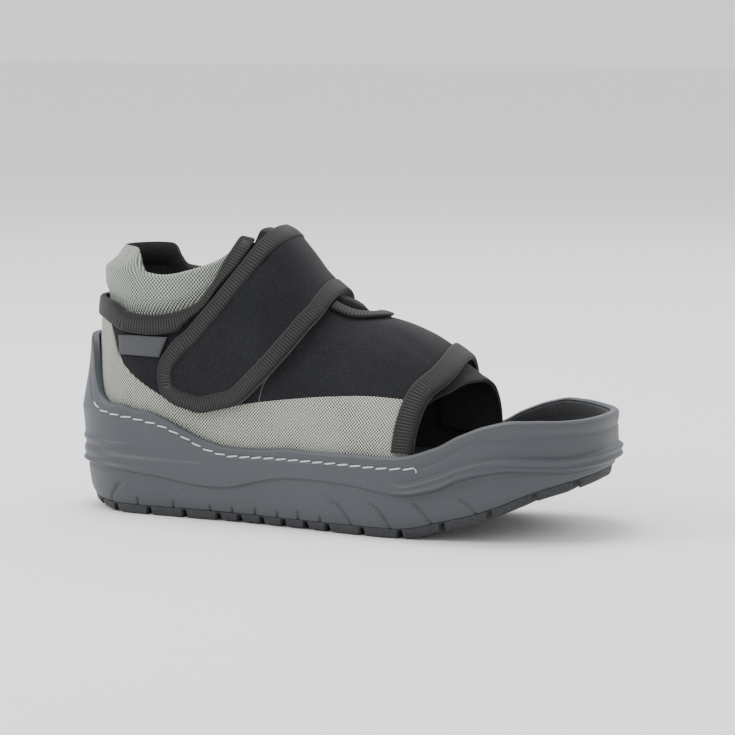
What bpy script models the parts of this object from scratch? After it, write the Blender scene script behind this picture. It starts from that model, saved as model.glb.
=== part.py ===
"""Post-operative shoe for the right foot, in metres: toe towards +X, lateral side -Y, standing on Z = 0.

A rockered cup sole carries a hollow textile upper that is open at the toe, the throat and the ankle.
Inside lie an insole, a tongue and a padded heel cuff; an ankle strap crosses the instep.
"""

from collections import namedtuple

import bmesh
import bpy
import numpy as np

# Overall sizes
SHOE_LENGTH = 0.292
BALL_WIDTH = 0.106
GAP = 0.0003
LAYER_GAP = 0.0006

# Sole
TOE_SPRING = 0.0285
HEEL_BEVEL = 0.0038
ARCH_LIFT = 0.0009
LUG_HEIGHT = 0.0042
TREAD_WEB = 0.0008
TREAD_INSET = 0.0016
GROOVE_WIDTH = 0.0024
WAVE_RISE = 0.0209
SIDE_RISE = 0.0340
COUNTER_RISE = 0.0325
COUNTER_LEAN = 0.0045
CUP_WALL = 0.0045
FLOOR_RISE = 0.0247
HEEL_UNDERCUT = 0.0052
SIDE_UNDERCUT = 0.0020
RIB_PITCH = 0.0062
RIB_DEPTH = 0.0011
BAND_HEIGHT = 0.0082
BAND_PROUD = 0.0024
BEAD_DROP = 0.0062
BEAD_DEPTH = 0.0009

# Upper
UPPER_WALL = 0.0025
UPPER_FOOT = 0.0008
INSTEP_HEIGHT = 0.149
TOPLINE_HEIGHT = 0.1045
PANEL_HEIGHT = 0.0700
PANEL_STEP = 0.0006
ANKLE_CENTRE = 0.235
RIDGE_OFFSET = 0.0050
HEEL_TUCK = 0.0050
THROAT_HALF = 0.0200

# Soft pieces
INSOLE_THICKNESS = 0.005
INSOLE_LIP = 0.0015
CUFF_WALL = 0.0042
CUFF_HEIGHT = 0.128
CUFF_DEPTH = 0.016
CUFF_SWELL = 0.0026
CUFF_LEAN = 0.0060
TONGUE_WALL = 0.0025
TONGUE_HALF = 0.027
TONGUE_SWELL = 0.0018
STRAP_WIDTH = 0.042
STRAP_WALL = 0.0026
TAPE = 0.0010
TAPE_GAP = 0.0007
TAPE_TURN = 0.5
FLAP_WALL = 0.0020
TAB_WALL = 0.0009
TOPLINE_TAPE = 0.0085
THROAT_TAPE = 0.0060
TOE_TAPE = 0.0100

TOE_END = 1 - BAND_PROUD / SHOE_LENGTH

Outline = namedtuple("Outline", "along lateral medial")
Profile = namedtuple("Profile", "along share")
Ground = namedtuple("Ground", "along heel arch toe")
Side = namedtuple("Side", "name ribs band bead")
Section = namedtuple("Section", "along crest power")
Front = namedtuple("Front", "along edge flap")
Strap = namedtuple("Strap", "along top_along top_around low_along low_around")

# Half widths as shares of the ball width, at stations along the shoe
OUTLINE = [
    Outline(0.00, 0.300, 0.300),
    Outline(0.08, 0.335, 0.335),
    Outline(0.15, 0.352, 0.345),
    Outline(0.25, 0.375, 0.350),
    Outline(0.35, 0.405, 0.345),
    Outline(0.45, 0.450, 0.350),
    Outline(0.55, 0.500, 0.380),
    Outline(0.65, 0.535, 0.425),
    Outline(0.72, 0.540, 0.455),
    Outline(0.80, 0.525, 0.480),
    Outline(0.88, 0.500, 0.490),
    Outline(1.00, 0.460, 0.480),
]

# Lift of the tread: shares of the heel bevel, the arch lift and the toe spring
GROUND = [
    Ground(0.00, 1.00, 0.0, 0.000),
    Ground(0.04, 0.62, 0.0, 0.000),
    Ground(0.08, 0.26, 0.0, 0.000),
    Ground(0.12, 0.07, 0.0, 0.000),
    Ground(0.16, 0.00, 0.0, 0.000),
    Ground(0.27, 0.00, 0.0, 0.000),
    Ground(0.33, 0.00, 1.0, 0.000),
    Ground(0.50, 0.00, 1.0, 0.000),
    Ground(0.57, 0.00, 0.0, 0.000),
    Ground(0.66, 0.00, 0.0, 0.000),
    Ground(0.76, 0.00, 0.0, 0.210),
    Ground(0.83, 0.00, 0.0, 0.410),
    Ground(0.91, 0.00, 0.0, 0.730),
    Ground(0.98, 0.00, 0.0, 0.930),
    Ground(1.00, 0.00, 0.0, 1.000),
]

# Height of the wave line over the tread, as shares of the wave rise
WAVE = [
    Profile(0.00, 0.95),
    Profile(0.06, 0.93),
    Profile(0.12, 0.87),
    Profile(0.19, 0.78),
    Profile(0.28, 0.62),
    Profile(0.32, 0.61),
    Profile(0.37, 0.74),
    Profile(0.41, 0.88),
    Profile(0.46, 0.99),
    Profile(0.52, 1.00),
    Profile(0.58, 0.97),
    Profile(0.64, 0.86),
    Profile(0.70, 0.77),
    Profile(0.74, 0.76),
    Profile(0.78, 0.87),
    Profile(0.81, 0.89),
    Profile(0.85, 0.80),
    Profile(0.90, 0.51),
    Profile(0.95, 0.27),
    Profile(1.00, 0.16),
]

# Height of the rim over the wave line, as shares of the side rise
RIM = [
    Profile(0.00, 0.98),
    Profile(0.06, 0.98),
    Profile(0.12, 1.00),
    Profile(0.15, 0.96),
    Profile(0.17, 0.96),
    Profile(0.21, 0.90),
    Profile(0.24, 0.83),
    Profile(0.29, 0.70),
    Profile(0.34, 0.61),
    Profile(0.42, 0.47),
    Profile(0.52, 0.43),
    Profile(0.61, 0.49),
    Profile(0.69, 0.59),
    Profile(0.73, 0.63),
    Profile(0.77, 0.66),
    Profile(0.81, 0.69),
    Profile(0.88, 0.74),
    Profile(0.94, 0.75),
    Profile(1.00, 0.71),
]

# Rise of the heel counter over the rim, as shares of its full rise
COUNTER = [
    Profile(0.000, 1.00),
    Profile(0.012, 0.97),
    Profile(0.030, 0.78),
    Profile(0.050, 0.36),
    Profile(0.070, 0.10),
    Profile(0.095, 0.00),
    Profile(1.000, 0.00),
]

# Floor of the cup over the midsole base, as shares of the floor rise
FLOOR = [
    Profile(0.00, 1.00),
    Profile(0.30, 0.96),
    Profile(0.50, 0.92),
    Profile(0.65, 0.90),
    Profile(0.75, 0.84),
    Profile(0.83, 0.77),
    Profile(0.90, 0.62),
    Profile(1.00, 0.55),
]

# Height of the raised band around the toe, as shares of the band height
BAND = [
    Profile(0.00, 0.0),
    Profile(0.64, 0.0),
    Profile(0.66, 0.3),
    Profile(0.70, 0.8),
    Profile(0.74, 0.95),
    Profile(0.82, 0.9),
    Profile(1.00, 1.0),
]

# Tread grooves, as stations along the shoe
GROOVES = [0.050, 0.098, 0.171, 0.242, 0.311, 0.353, 0.398, 0.442, 0.487, 0.531, 0.599,
           0.672, 0.749, 0.832, 0.905, 0.965]

# Crest height of the upper as a share of the instep height, and the fullness of its section
SECTION = [
    Section(0.00, 1.175, 4.00),
    Section(0.12, 1.150, 3.70),
    Section(0.22, 1.090, 3.30),
    Section(0.30, 1.030, 3.00),
    Section(0.36, 1.000, 2.80),
    Section(0.39, 0.975, 2.65),
    Section(0.42, 0.915, 2.50),
    Section(0.45, 0.842, 2.40),
    Section(0.48, 0.790, 2.30),
    Section(0.51, 0.750, 2.25),
    Section(0.54, 0.722, 2.20),
    Section(0.57, 0.708, 2.15),
    Section(0.61, 0.690, 2.10),
    Section(0.66, 0.652, 2.10),
    Section(0.70, 0.604, 2.10),
    Section(0.74, 0.548, 2.10),
    Section(0.78, 0.490, 2.10),
    Section(1.00, 0.300, 2.10),
]

# Topline of the upper, as shares of the topline height
TOPLINE = [
    Profile(0.00, 1.060),
    Profile(0.08, 1.040),
    Profile(0.12, 0.995),
    Profile(0.17, 0.984),
    Profile(0.21, 0.996),
    Profile(0.25, 1.030),
    Profile(0.275, 1.072),
    Profile(0.29, 1.125),
    Profile(0.305, 1.200),
    Profile(0.324, 1.315),
    Profile(0.36, 1.500),
    Profile(1.00, 1.600),
]

# Half width of the throat, as shares of its full half width
THROAT = [
    Profile(0.00, 1.05),
    Profile(0.36, 1.00),
    Profile(0.42, 0.92),
    Profile(0.48, 0.77),
    Profile(0.52, 0.67),
    Profile(0.543, 0.48),
    Profile(0.556, 0.28),
    Profile(0.563, 0.13),
    Profile(0.567, 0.00),
    Profile(1.00, 0.00),
]

# Lower edge of the side panel, as shares of the panel height
PANEL = [
    Profile(0.00, 1.46),
    Profile(0.072, 1.40),
    Profile(0.085, 1.32),
    Profile(0.100, 1.19),
    Profile(0.127, 1.07),
    Profile(0.158, 0.98),
    Profile(0.194, 0.90),
    Profile(0.225, 0.845),
    Profile(0.317, 0.845),
    Profile(0.378, 0.887),
    Profile(0.455, 0.935),
    Profile(0.529, 0.970),
    Profile(0.620, 0.993),
    Profile(1.00, 1.010),
]

# Front edge of the upper and of the medial flap, as stations at values around the section
FRONT = [
    Front(0.00, 0.687, 0.700),
    Front(0.20, 0.6895, 0.700),
    Front(0.35, 0.696, 0.702),
    Front(0.46, 0.704, 0.708),
    Front(0.53, 0.713, 0.720),
    Front(0.64, 0.725, 0.737),
    Front(0.78, 0.729, 0.748),
    Front(1.00, 0.724, 0.760),
    Front(1.20, 0.718, 0.762),
    Front(1.50, 0.709, 0.757),
    Front(2.00, 0.700, 0.745),
]

# Width of the topline tape that stays clear of the strap, as shares of its full width
TAPE_SHARE = [
    Profile(0.00, 1.00),
    Profile(0.21, 1.00),
    Profile(0.26, 0.42),
    Profile(0.293, 0.32),
    Profile(0.306, 0.50),
    Profile(0.318, 0.80),
    Profile(0.330, 0.85),
    Profile(1.00, 1.00),
]

# Edges of the ankle strap from its round end to the ridge: stations and values around the section
STRAP = [
    Strap(0.0, 0.186, 0.094, 0.192, 0.068),
    Strap(0.5, 0.188, 0.108, 0.207, 0.060),
    Strap(1.0, 0.192, 0.125, 0.232, 0.055),
    Strap(2.0, 0.215, 0.168, 0.271, 0.056),
    Strap(3.0, 0.250, 0.228, 0.312, 0.073),
    Strap(4.0, 0.278, 0.305, 0.352, 0.098),
    Strap(5.0, 0.303, 0.385, 0.391, 0.168),
    Strap(6.0, 0.325, 0.470, 0.425, 0.275),
    Strap(7.0, 0.345, 0.565, 0.452, 0.405),
    Strap(8.0, 0.359, 0.665, 0.472, 0.540),
    Strap(9.0, 0.369, 0.765, 0.487, 0.685),
    Strap(10.0, 0.376, 0.875, 0.491, 0.830),
    Strap(11.0, 0.378, 1.000, 0.490, 1.000),
]

# Top edge of the heel cuff, as shares of the cuff height
CUFF = [
    Profile(0.00, 1.085),
    Profile(0.06, 1.085),
    Profile(0.095, 1.080),
    Profile(0.115, 1.062),
    Profile(0.135, 1.022),
    Profile(0.160, 0.988),
    Profile(0.190, 0.980),
    Profile(0.215, 0.986),
    Profile(0.250, 1.006),
    Profile(0.294, 1.042),
    Profile(0.340, 1.110),
    Profile(0.365, 1.123),
    Profile(1.00, 1.130),
]


def read(rows, at, column="share"):
    """Smooth value of one column of a table at the given stations."""
    at = np.asarray(at, dtype=float)
    keys = np.array([row.along for row in rows])
    values = np.array([getattr(row, column) for row in rows])
    steps = np.diff(keys)
    rates = np.diff(values) / steps
    slopes = np.zeros(len(keys))
    for index in range(1, len(keys) - 1):
        before, after = rates[index - 1], rates[index]
        if before * after > 0:
            slopes[index] = 2 * before * after / (before + after)
    slopes[0] = rates[0]
    slopes[-1] = rates[-1]
    cell = np.clip(np.searchsorted(keys, at, side="right") - 1, 0, len(steps) - 1)
    share = np.clip((at - keys[cell]) / steps[cell], 0, 1)
    rise = values[cell + 1] - values[cell]
    entry = slopes[cell] * steps[cell]
    leave = slopes[cell + 1] * steps[cell]
    return (values[cell] + entry * share + (3 * rise - 2 * entry - leave) * share ** 2
            + (entry + leave - 2 * rise) * share ** 3)


def ease(value):
    """Smooth step from 0 to 1."""
    value = np.clip(value, 0, 1)
    return value * value * (3 - 2 * value)


def x_at(along):
    """X of a station."""
    return (np.asarray(along) - 0.5) * SHOE_LENGTH


def round_off(along):
    """Share of the full half width left by the round heel and toe."""
    along = np.asarray(along, dtype=float)
    heel = np.clip((0.13 - along) / 0.13, 0, 1)
    toe = np.clip((along - 0.80) / (TOE_END - 0.80), 0, 1)
    return (1 - heel ** 2.2) ** (1 / 2.2) * (1 - toe ** 2.3) ** (1 / 2.3)


def outline_y(along, side):
    """Y of the outline on one side, -1 lateral and 1 medial."""
    column = "lateral" if side < 0 else "medial"
    swing = 0.03 * BALL_WIDTH * np.clip((np.asarray(along) - 0.8) / 0.2, 0, 1)
    return side * BALL_WIDTH * read(OUTLINE, along, column) * round_off(along) + swing


def arc_stations(count):
    """Stations from heel to toe at equal steps around the outline."""
    fine = TOE_END * (1 - np.cos(np.linspace(0, np.pi, 1501))) / 2
    half = (outline_y(fine, 1) - outline_y(fine, -1)) / 2
    steps = np.hypot(np.diff(x_at(fine)), np.diff(half))
    run = np.concatenate([[0], np.cumsum(steps)])
    return np.interp(np.linspace(0, run[-1], count + 1), run, fine)


def loop_of(stations):
    """Outline loop as stations, points and outward directions: lateral heel to toe, medial back."""
    along = np.concatenate([stations, stations[-2:0:-1]])
    side = np.concatenate([-np.ones(len(stations)), np.ones(len(stations) - 2)])
    y = np.where(side < 0, outline_y(along, -1), outline_y(along, 1))
    points = np.stack([x_at(along), y], axis=1)
    tangent = np.roll(points, -1, axis=0) - np.roll(points, 1, axis=0)
    tangent /= np.linalg.norm(tangent, axis=1)[:, None]
    return along, points, np.stack([tangent[:, 1], -tangent[:, 0]], axis=1)


def toe_lift(along):
    """Lift of the whole sole by the toe spring."""
    return TOE_SPRING * read(GROUND, along, "toe")


def tread_z(along):
    """Underside of the lugs."""
    return (toe_lift(along) + HEEL_BEVEL * read(GROUND, along, "heel")
            + ARCH_LIFT * read(GROUND, along, "arch"))


def base_z(along):
    """Underside of the midsole."""
    return (toe_lift(along) + 0.45 * HEEL_BEVEL * read(GROUND, along, "heel")
            + LUG_HEIGHT + TREAD_WEB + GAP)


def wave_z(along):
    """Line where the side steps in over the lower side."""
    return toe_lift(along) + LUG_HEIGHT + TREAD_WEB + GAP + WAVE_RISE * read(WAVE, along)


def rim_z(along):
    """Top of the cup wall without the heel counter."""
    return wave_z(along) + SIDE_RISE * read(RIM, along)


def floor_z(along):
    """Floor inside the cup."""
    return toe_lift(along) + LUG_HEIGHT + TREAD_WEB + GAP + FLOOR_RISE * read(FLOOR, along)


def heel_share(along):
    """1 at the back of the heel, 0 past it."""
    return ease((0.15 - np.asarray(along)) / 0.15)


def tuck(height):
    """Share of the inward lean of the heel at a height."""
    low = SIDE_RISE + 0.2 * COUNTER_RISE
    return ease((np.asarray(height) - low) / (1.5 * COUNTER_RISE))


def material(name, colour, roughness):
    """Plain Principled material."""
    shade = bpy.data.materials.new(name)
    shade.use_nodes = True
    shader = shade.node_tree.nodes["Principled BSDF"]
    shader.inputs["Base Color"].default_value = (*colour, 1)
    shader.inputs["Roughness"].default_value = roughness
    return shade


def add_solid(name, points, faces, colour, roughness=0.8):
    """Closed mesh object with its origin at the bottom centre of its box."""
    points = np.asarray(points, dtype=float)
    low, high = points.min(axis=0), points.max(axis=0)
    origin = np.array([(low[0] + high[0]) / 2, (low[1] + high[1]) / 2, low[2]])
    mesh = bpy.data.meshes.new(name)
    mesh.from_pydata((points - origin).tolist(), [], [list(map(int, face)) for face in faces])
    work = bmesh.new()
    work.from_mesh(mesh)
    bmesh.ops.recalc_face_normals(work, faces=work.faces)
    bmesh.ops.triangulate(work, faces=work.faces)
    work.to_mesh(mesh)
    work.free()
    mesh.materials.append(material(name + "_material", colour, roughness))
    thing = bpy.data.objects.new(name, mesh)
    thing.location = origin
    bpy.context.collection.objects.link(thing)
    return thing


def strips(rows, count):
    """Quads between neighbouring rows of a closed loop of columns."""
    faces = []
    for row in range(rows - 1):
        for column in range(count):
            after = (column + 1) % count
            faces.append((row * count + column, row * count + after,
                          (row + 1) * count + after, (row + 1) * count + column))
    return faces


def plate(start, half):
    """Faces across a loop row: lateral column paired with the medial one of the same station."""
    count = 2 * half
    faces = []
    for column in range(1, half - 1):
        other = count - column
        faces.append((start + column, start + column + 1, start + other - 1, start + other))
    faces.append((start, start + 1, start + count - 1))
    faces.append((start + half - 1, start + half, start + half + 1))
    return faces


def build_midsole():
    """Cup: recessed lower side, wave line, heel ribs, toe band, bead under the rim, wall and floor."""
    half = 56
    along, points, outward = loop_of(arc_stations(half))
    heel = heel_share(along)
    wave = wave_z(along)
    base = base_z(along)
    bead = rim_z(along) - BEAD_DROP
    counter = COUNTER_RISE * read(COUNTER, along)
    rim = rim_z(along) + counter
    band = BAND_HEIGHT * read(BAND, along)
    front = ease((along - 0.645) / 0.06)
    ribs = ease((0.24 - along) / 0.16)
    under = SIDE_UNDERCUT + (HEEL_UNDERCUT - SIDE_UNDERCUT) * heel
    spread = (bead - wave) / 7
    pitch = RIB_PITCH / 2 * ribs + spread * (1 - ribs)
    rows = [
        (base, -under - 0.0012),
        (base + 0.25 * (wave - base), -under * 0.72 - 0.0006),
        (wave - 0.22 * (wave - base), -under * 0.42 - 0.0006),
        (wave - 0.03 * (wave - base), -0.0014 - 0.0022 * heel),
        (wave, 0 * along),
    ]
    table = [Side("low", -1.0, 1.0, 0.26), Side("middle", 0.0, 0.55, 0.50),
             Side("high", -1.0, 1.0, 0.74), Side("top", 0.0, 0.0, 1.00), Side("over", -0.7, 0.0, 1.18)]
    for step, side in enumerate(table, 1):
        plain = wave + step * pitch
        proud = wave + side.bead * band + (1.0 - read(BAND, along)) * step * 0.0002
        height = plain * (1 - front) + proud * front
        shift = side.ribs * RIB_DEPTH * ribs * (1 - front) + side.band * BAND_PROUD * front
        rows.append((height, shift))
    notch = ease((along - 0.70) / 0.04)
    top_lean = COUNTER_LEAN * heel
    shoulder = bead + 0.75 * BEAD_DROP + 0.50 * counter
    rows += [
        (bead, -BEAD_DEPTH * notch),
        (bead + 0.35 * BEAD_DROP, 0 * along),
        (shoulder + 0.05 * counter, -top_lean * tuck(shoulder + 0.05 * counter)),
        (rim - 0.0008, -top_lean * tuck(rim) - 0.0004),
        (rim, -top_lean * tuck(rim) - 0.32 * CUP_WALL),
        (rim, -top_lean * tuck(rim) - 0.70 * CUP_WALL),
        (rim - 0.0010, -top_lean * tuck(rim) - CUP_WALL),
        (shoulder, -top_lean * tuck(shoulder) - CUP_WALL),
        (floor_z(along) * 0.4 + (bead + 0.3 * BEAD_DROP) * 0.6, 0 * along - CUP_WALL),
        (floor_z(along), 0 * along - CUP_WALL),
    ]
    verts = []
    for height, shift in rows:
        place = points + outward * shift[:, None]
        verts.append(np.column_stack([place, height]))
    verts = np.concatenate(verts)
    count = len(along)
    faces = strips(len(rows), count) + plate(0, half) + plate((len(rows) - 1) * count, half)
    add_solid("midsole", verts, faces, (0.11, 0.12, 0.13), 0.6)


def build_outsole():
    """Rubber tread: transverse lugs under a thin web, following the rocker of the sole."""
    reach = GROOVE_WIDTH / SHOE_LENGTH / 2
    draft = 0.0005 / SHOE_LENGTH
    cuts = []
    for groove in GROOVES:
        cuts += [(groove - reach - draft, 0.0), (groove - reach, 1.0), (groove + reach, 1.0),
                 (groove + reach + draft, 0.0)]
    plain = [0.0005, 0.004, 0.012, 0.024, 0.070, 0.130, 0.205, 0.275, 0.565, 0.635, 0.710, 0.790,
             0.870, 0.940, 0.978, 0.986, 0.991]
    cuts += [(station, 0.0) for station in plain]
    cuts.sort()
    stations = np.array([cut[0] for cut in cuts])
    depth = np.array([cut[1] for cut in cuts])
    heel = heel_share(stations)
    under = SIDE_UNDERCUT + (HEEL_UNDERCUT - SIDE_UNDERCUT) * heel + 0.0012
    top = base_z(stations) - GAP
    bottom = tread_z(stations)
    cut = bottom + (top - TREAD_WEB - bottom) * depth
    ring = []
    for inset, height in ((under, top), (under + 0.3 * TREAD_INSET, top * 0.35 + cut * 0.65),
                          (under + TREAD_INSET, cut)):
        for side in (-1, 1):
            ring.append((side, np.column_stack([inset_points(stations, side, inset), height])))
    order = [ring[0][1], ring[2][1], ring[4][1], ring[5][1], ring[3][1], ring[1][1]]
    verts = np.concatenate(order)
    count = len(stations)
    faces = []
    for line in range(6):
        after = (line + 1) % 6
        for index in range(count - 1):
            faces.append((line * count + index, line * count + index + 1,
                          after * count + index + 1, after * count + index))
    faces.append([line * count for line in range(6)])
    faces.append([line * count + count - 1 for line in range(6)])
    add_solid("outsole", verts, faces, (0.035, 0.037, 0.04), 0.75)


def inset_points(stations, side, inset):
    """Points of the outline at the given stations, moved inward."""
    fine = TOE_END * (1 - np.cos(np.linspace(0, np.pi, 721))) / 2
    points = np.stack([x_at(fine), outline_y(fine, side)], axis=1)
    tangent = np.gradient(points, axis=0)
    tangent[0] = (0, side)
    tangent[-1] = (0, -side)
    tangent /= np.linalg.norm(tangent, axis=1)[:, None]
    inward = np.stack([tangent[:, 1], -tangent[:, 0]], axis=1) * side
    place = [np.interp(stations, fine, points[:, axis]) for axis in (0, 1)]
    turn = [np.interp(stations, fine, inward[:, axis]) for axis in (0, 1)]
    return np.stack([place[0] + turn[0] * inset, place[1] + turn[1] * inset], axis=1)


def inset_curve(side, inset):
    """Dense inset outline of one side, in order of x."""
    fine = TOE_END * (1 - np.cos(np.linspace(0, np.pi, 721))) / 2
    curve = inset_points(fine, side, inset)
    return curve[np.argsort(curve[:, 0])]


def build_insole():
    """Footbed that fills the cup floor, with a thin lip inside the toe."""
    half = 32
    along, points, outward = loop_of(arc_stations(half))
    front = ease((along - 0.715) / 0.03)
    skirt = CUP_WALL + GAP
    under_upper = skirt + UPPER_WALL + LAYER_GAP + 0.0006
    inset = under_upper * (1 - front) + skirt * front
    low = floor_z(along) + GAP
    bed = low + INSOLE_THICKNESS
    lip = bed + (rim_z(along) - 0.0035 - bed) * front
    rows = [
        (low, -inset),
        (bed * 0.5 + lip * 0.5 - 0.0006 * (1 - front), -inset),
        (lip - 0.0006, -inset),
        (lip, -inset - 0.5 * INSOLE_LIP),
        (lip - 0.0003 * front, -inset - INSOLE_LIP),
        (bed + 0.0004 * front, -inset - INSOLE_LIP - 0.0022),
    ]
    verts = np.concatenate([np.column_stack([points + outward * shift[:, None], height])
                            for height, shift in rows])
    count = len(along)
    faces = strips(len(rows), count) + plate(0, half) + plate((len(rows) - 1) * count, half)
    add_solid("insole", verts, faces, (0.02, 0.02, 0.022), 0.9)


# Places on the upper: along is a station (0 the back of the heel), around is 0 at the lateral foot,
# 1 at the ridge and 2 at the medial foot

SKIN_INSET = CUP_WALL + GAP
LATERAL_EDGE = inset_curve(-1, SKIN_INSET)
MEDIAL_EDGE = inset_curve(1, SKIN_INSET)


def fan_radius(side, angle):
    """Distance from the ankle centre to the inset heel, angle from the back."""
    curve = LATERAL_EDGE if side < 0 else MEDIAL_EDGE
    dx = x_at(ANKLE_CENTRE) - curve[:, 0]
    dy = (curve[:, 1] - ridge_y(ANKLE_CENTRE)) * side
    turn = np.arctan2(dy, dx)
    order = np.argsort(turn)
    return np.interp(angle, turn[order], np.hypot(dx, dy)[order])


def ridge_y(along):
    """Y of the ridge of the upper."""
    return RIDGE_OFFSET * ease((np.asarray(along) - ANKLE_CENTRE) / (0.6 - ANKLE_CENTRE))


def foot_of(along, side):
    """Station, foot distance and horizontal direction of a rib."""
    along = np.asarray(along, dtype=float)
    fan = along < ANKLE_CENTRE
    angle = np.clip(along / ANKLE_CENTRE, 0, 1) * np.pi / 2
    curve_l = np.interp(x_at(along), LATERAL_EDGE[:, 0], LATERAL_EDGE[:, 1])
    curve_m = np.interp(x_at(along), MEDIAL_EDGE[:, 0], MEDIAL_EDGE[:, 1])
    flat = np.where(side < 0, ridge_y(along) - curve_l, curve_m - ridge_y(along))
    swept = np.where(side < 0, fan_radius(-1, angle), fan_radius(1, angle))
    radius = np.where(fan, swept, flat)
    direction = np.stack([np.where(fan, -np.cos(angle), 0), np.where(fan, np.sin(angle), 1) * side], axis=-1)
    hub = np.stack([np.where(fan, x_at(ANKLE_CENTRE), x_at(along)),
                    np.where(fan, ridge_y(ANKLE_CENTRE), ridge_y(along))], axis=-1)
    station = (hub[..., 0] + direction[..., 0] * radius) / SHOE_LENGTH + 0.5
    return station, radius, direction, hub


def bounds_of(station):
    """Foot height, crest height and fullness of the section at a station."""
    low = floor_z(station) + UPPER_FOOT
    return low, INSTEP_HEIGHT * read(SECTION, station, "crest"), read(SECTION, station, "power")


def skin(along, around):
    """Points of the outer surface of the upper."""
    along, around = np.broadcast_arrays(np.asarray(along, float), np.asarray(around, float))
    side = np.where(around <= 1, -1.0, 1.0)
    turn = np.clip(np.where(around <= 1, around, 2 - around), 0, 1) * np.pi / 2
    station, radius, direction, hub = foot_of(along, side)
    low, crest, power = bounds_of(station)
    height = low + (crest - low) * np.sin(turn) ** (2 / power)
    reach = radius * np.cos(turn) ** (2 / power)
    reach = reach - HEEL_TUCK * heel_share(station - SKIN_INSET / SHOE_LENGTH) * tuck(height)
    flat = hub + direction * reach[..., None]
    return np.concatenate([flat, height[..., None]], axis=-1)


def around_at_height(along, side, height):
    """Around value where a rib reaches a height."""
    station = foot_of(along, side)[0]
    low, crest, power = bounds_of(station)
    share = np.clip((height - low) / (crest - low), 0, 1)
    turn = np.arcsin(share ** (power / 2)) / (np.pi / 2)
    return np.where(np.asarray(side) < 0, turn, 2 - turn)


def around_at_width(along, side, width):
    """Around value where a rib comes within a distance of the ridge."""
    station, radius = foot_of(along, side)[:2]
    power = bounds_of(station)[2]
    share = np.clip(width / radius, 0, 1)
    turn = np.arccos(share ** (power / 2)) / (np.pi / 2)
    return np.where(np.asarray(side) < 0, turn, 2 - turn)


def top_around(along, side):
    """Upper edge of the upper: topline at the ankle, throat edge over the instep."""
    station = foot_of(along, side)[0]
    line = around_at_height(along, side, TOPLINE_HEIGHT * read(TOPLINE, station))
    throat = around_at_width(along, side, THROAT_HALF * read(THROAT, station))
    lower = np.minimum(np.where(side < 0, line, 2 - line), np.where(side < 0, throat, 2 - throat))
    return np.where(np.asarray(side) < 0, lower, 2 - lower)


def front_along(around):
    """Station of the front edge of the upper."""
    return read(FRONT, around, "edge")


def weld(grids, normals_from=None):
    """Join point grids into one vertex list and quads, sharing equal points."""
    lookup, points, quads = {}, [], []
    for grid in grids:
        index = np.zeros(grid.shape[:2], dtype=int)
        for row in range(grid.shape[0]):
            for column in range(grid.shape[1]):
                key = tuple(np.round(grid[row, column], 6))
                if key not in lookup:
                    lookup[key] = len(points)
                    points.append(grid[row, column])
                index[row, column] = lookup[key]
        for row in range(grid.shape[0] - 1):
            for column in range(grid.shape[1] - 1):
                quads.append((index[row, column], index[row, column + 1],
                              index[row + 1, column + 1], index[row + 1, column]))
    return np.array(points), quads


def vertex_normals(points, quads):
    """Area weighted normals of a quad sheet."""
    normals = np.zeros_like(points)
    for a, b, c, d in quads:
        face = np.cross(points[c] - points[a], points[d] - points[b])
        for corner in (a, b, c, d):
            normals[corner] += face
    return normals / np.linalg.norm(normals, axis=1)[:, None]


def shell(name, points, quads, outer, inner, colour, roughness=0.85):
    """Closed solid between two offsets of a sheet whose quads face outward."""
    normals = vertex_normals(points, quads)
    hub = np.array([x_at(0.4), 0.0, 0.45 * TOPLINE_HEIGHT])
    if np.sum(normals * (points - hub)) < 0:
        normals = -normals
    outer = np.broadcast_to(outer, len(points))
    inner = np.broadcast_to(inner, len(points))
    verts = np.concatenate([points + normals * outer[:, None], points + normals * inner[:, None]])
    shift = len(points)
    faces, edges = [], {}
    for quad in quads:
        corners = [corner for k, corner in enumerate(quad) if corner != quad[k - 1]]
        faces.append(corners)
        faces.append([corner + shift for corner in reversed(corners)])
        for k, corner in enumerate(corners):
            edges[(corners[k - 1], corner)] = True
    for start, end in edges:
        if (end, start) not in edges:
            faces.append((end, start, start + shift, end + shift))
    return add_solid(name, verts, faces, colour, roughness)


def rib_arounds(along, side):
    """Row values of one rib from its foot to its top edge."""
    station = foot_of(along, side)[0]
    panel = PANEL_HEIGHT * read(PANEL, station)
    foot = 0.0 if side < 0 else 2.0
    cup = around_at_height(along, side, rim_z(station) * 0.85 + floor_z(station) * 0.15)
    edge = around_at_height(along, side, panel)
    over = around_at_height(along, side, panel + 0.0006)
    top = top_around(along, side)
    middle = cup * 0.5 + edge * 0.5
    rows = [foot, float(cup), float(middle), float(edge), float(over)]
    rows += [float(over + (top - over) * share) for share in (0.22, 0.44, 0.65, 0.84, 1.0)]
    return rows


UPPER_STATIONS = [0.0, 0.035, 0.070, 0.105, 0.140, 0.175, 0.205, 0.235, 0.262, 0.280, 0.293, 0.306, 0.318,
                  0.330, 0.345, 0.370, 0.400, 0.430, 0.460, 0.485, 0.510, 0.530, 0.546, 0.556, 0.562,
                  0.5655, 0.568, 0.590, 0.612, 0.635, 0.658, 0.680]


def slant(along, around):
    """Station of a rib point: front ribs swing forward to follow the front edge."""
    share = ease((along - 0.576) / (0.680 - 0.576))
    return along + (front_along(around) - 0.680) * share


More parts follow.
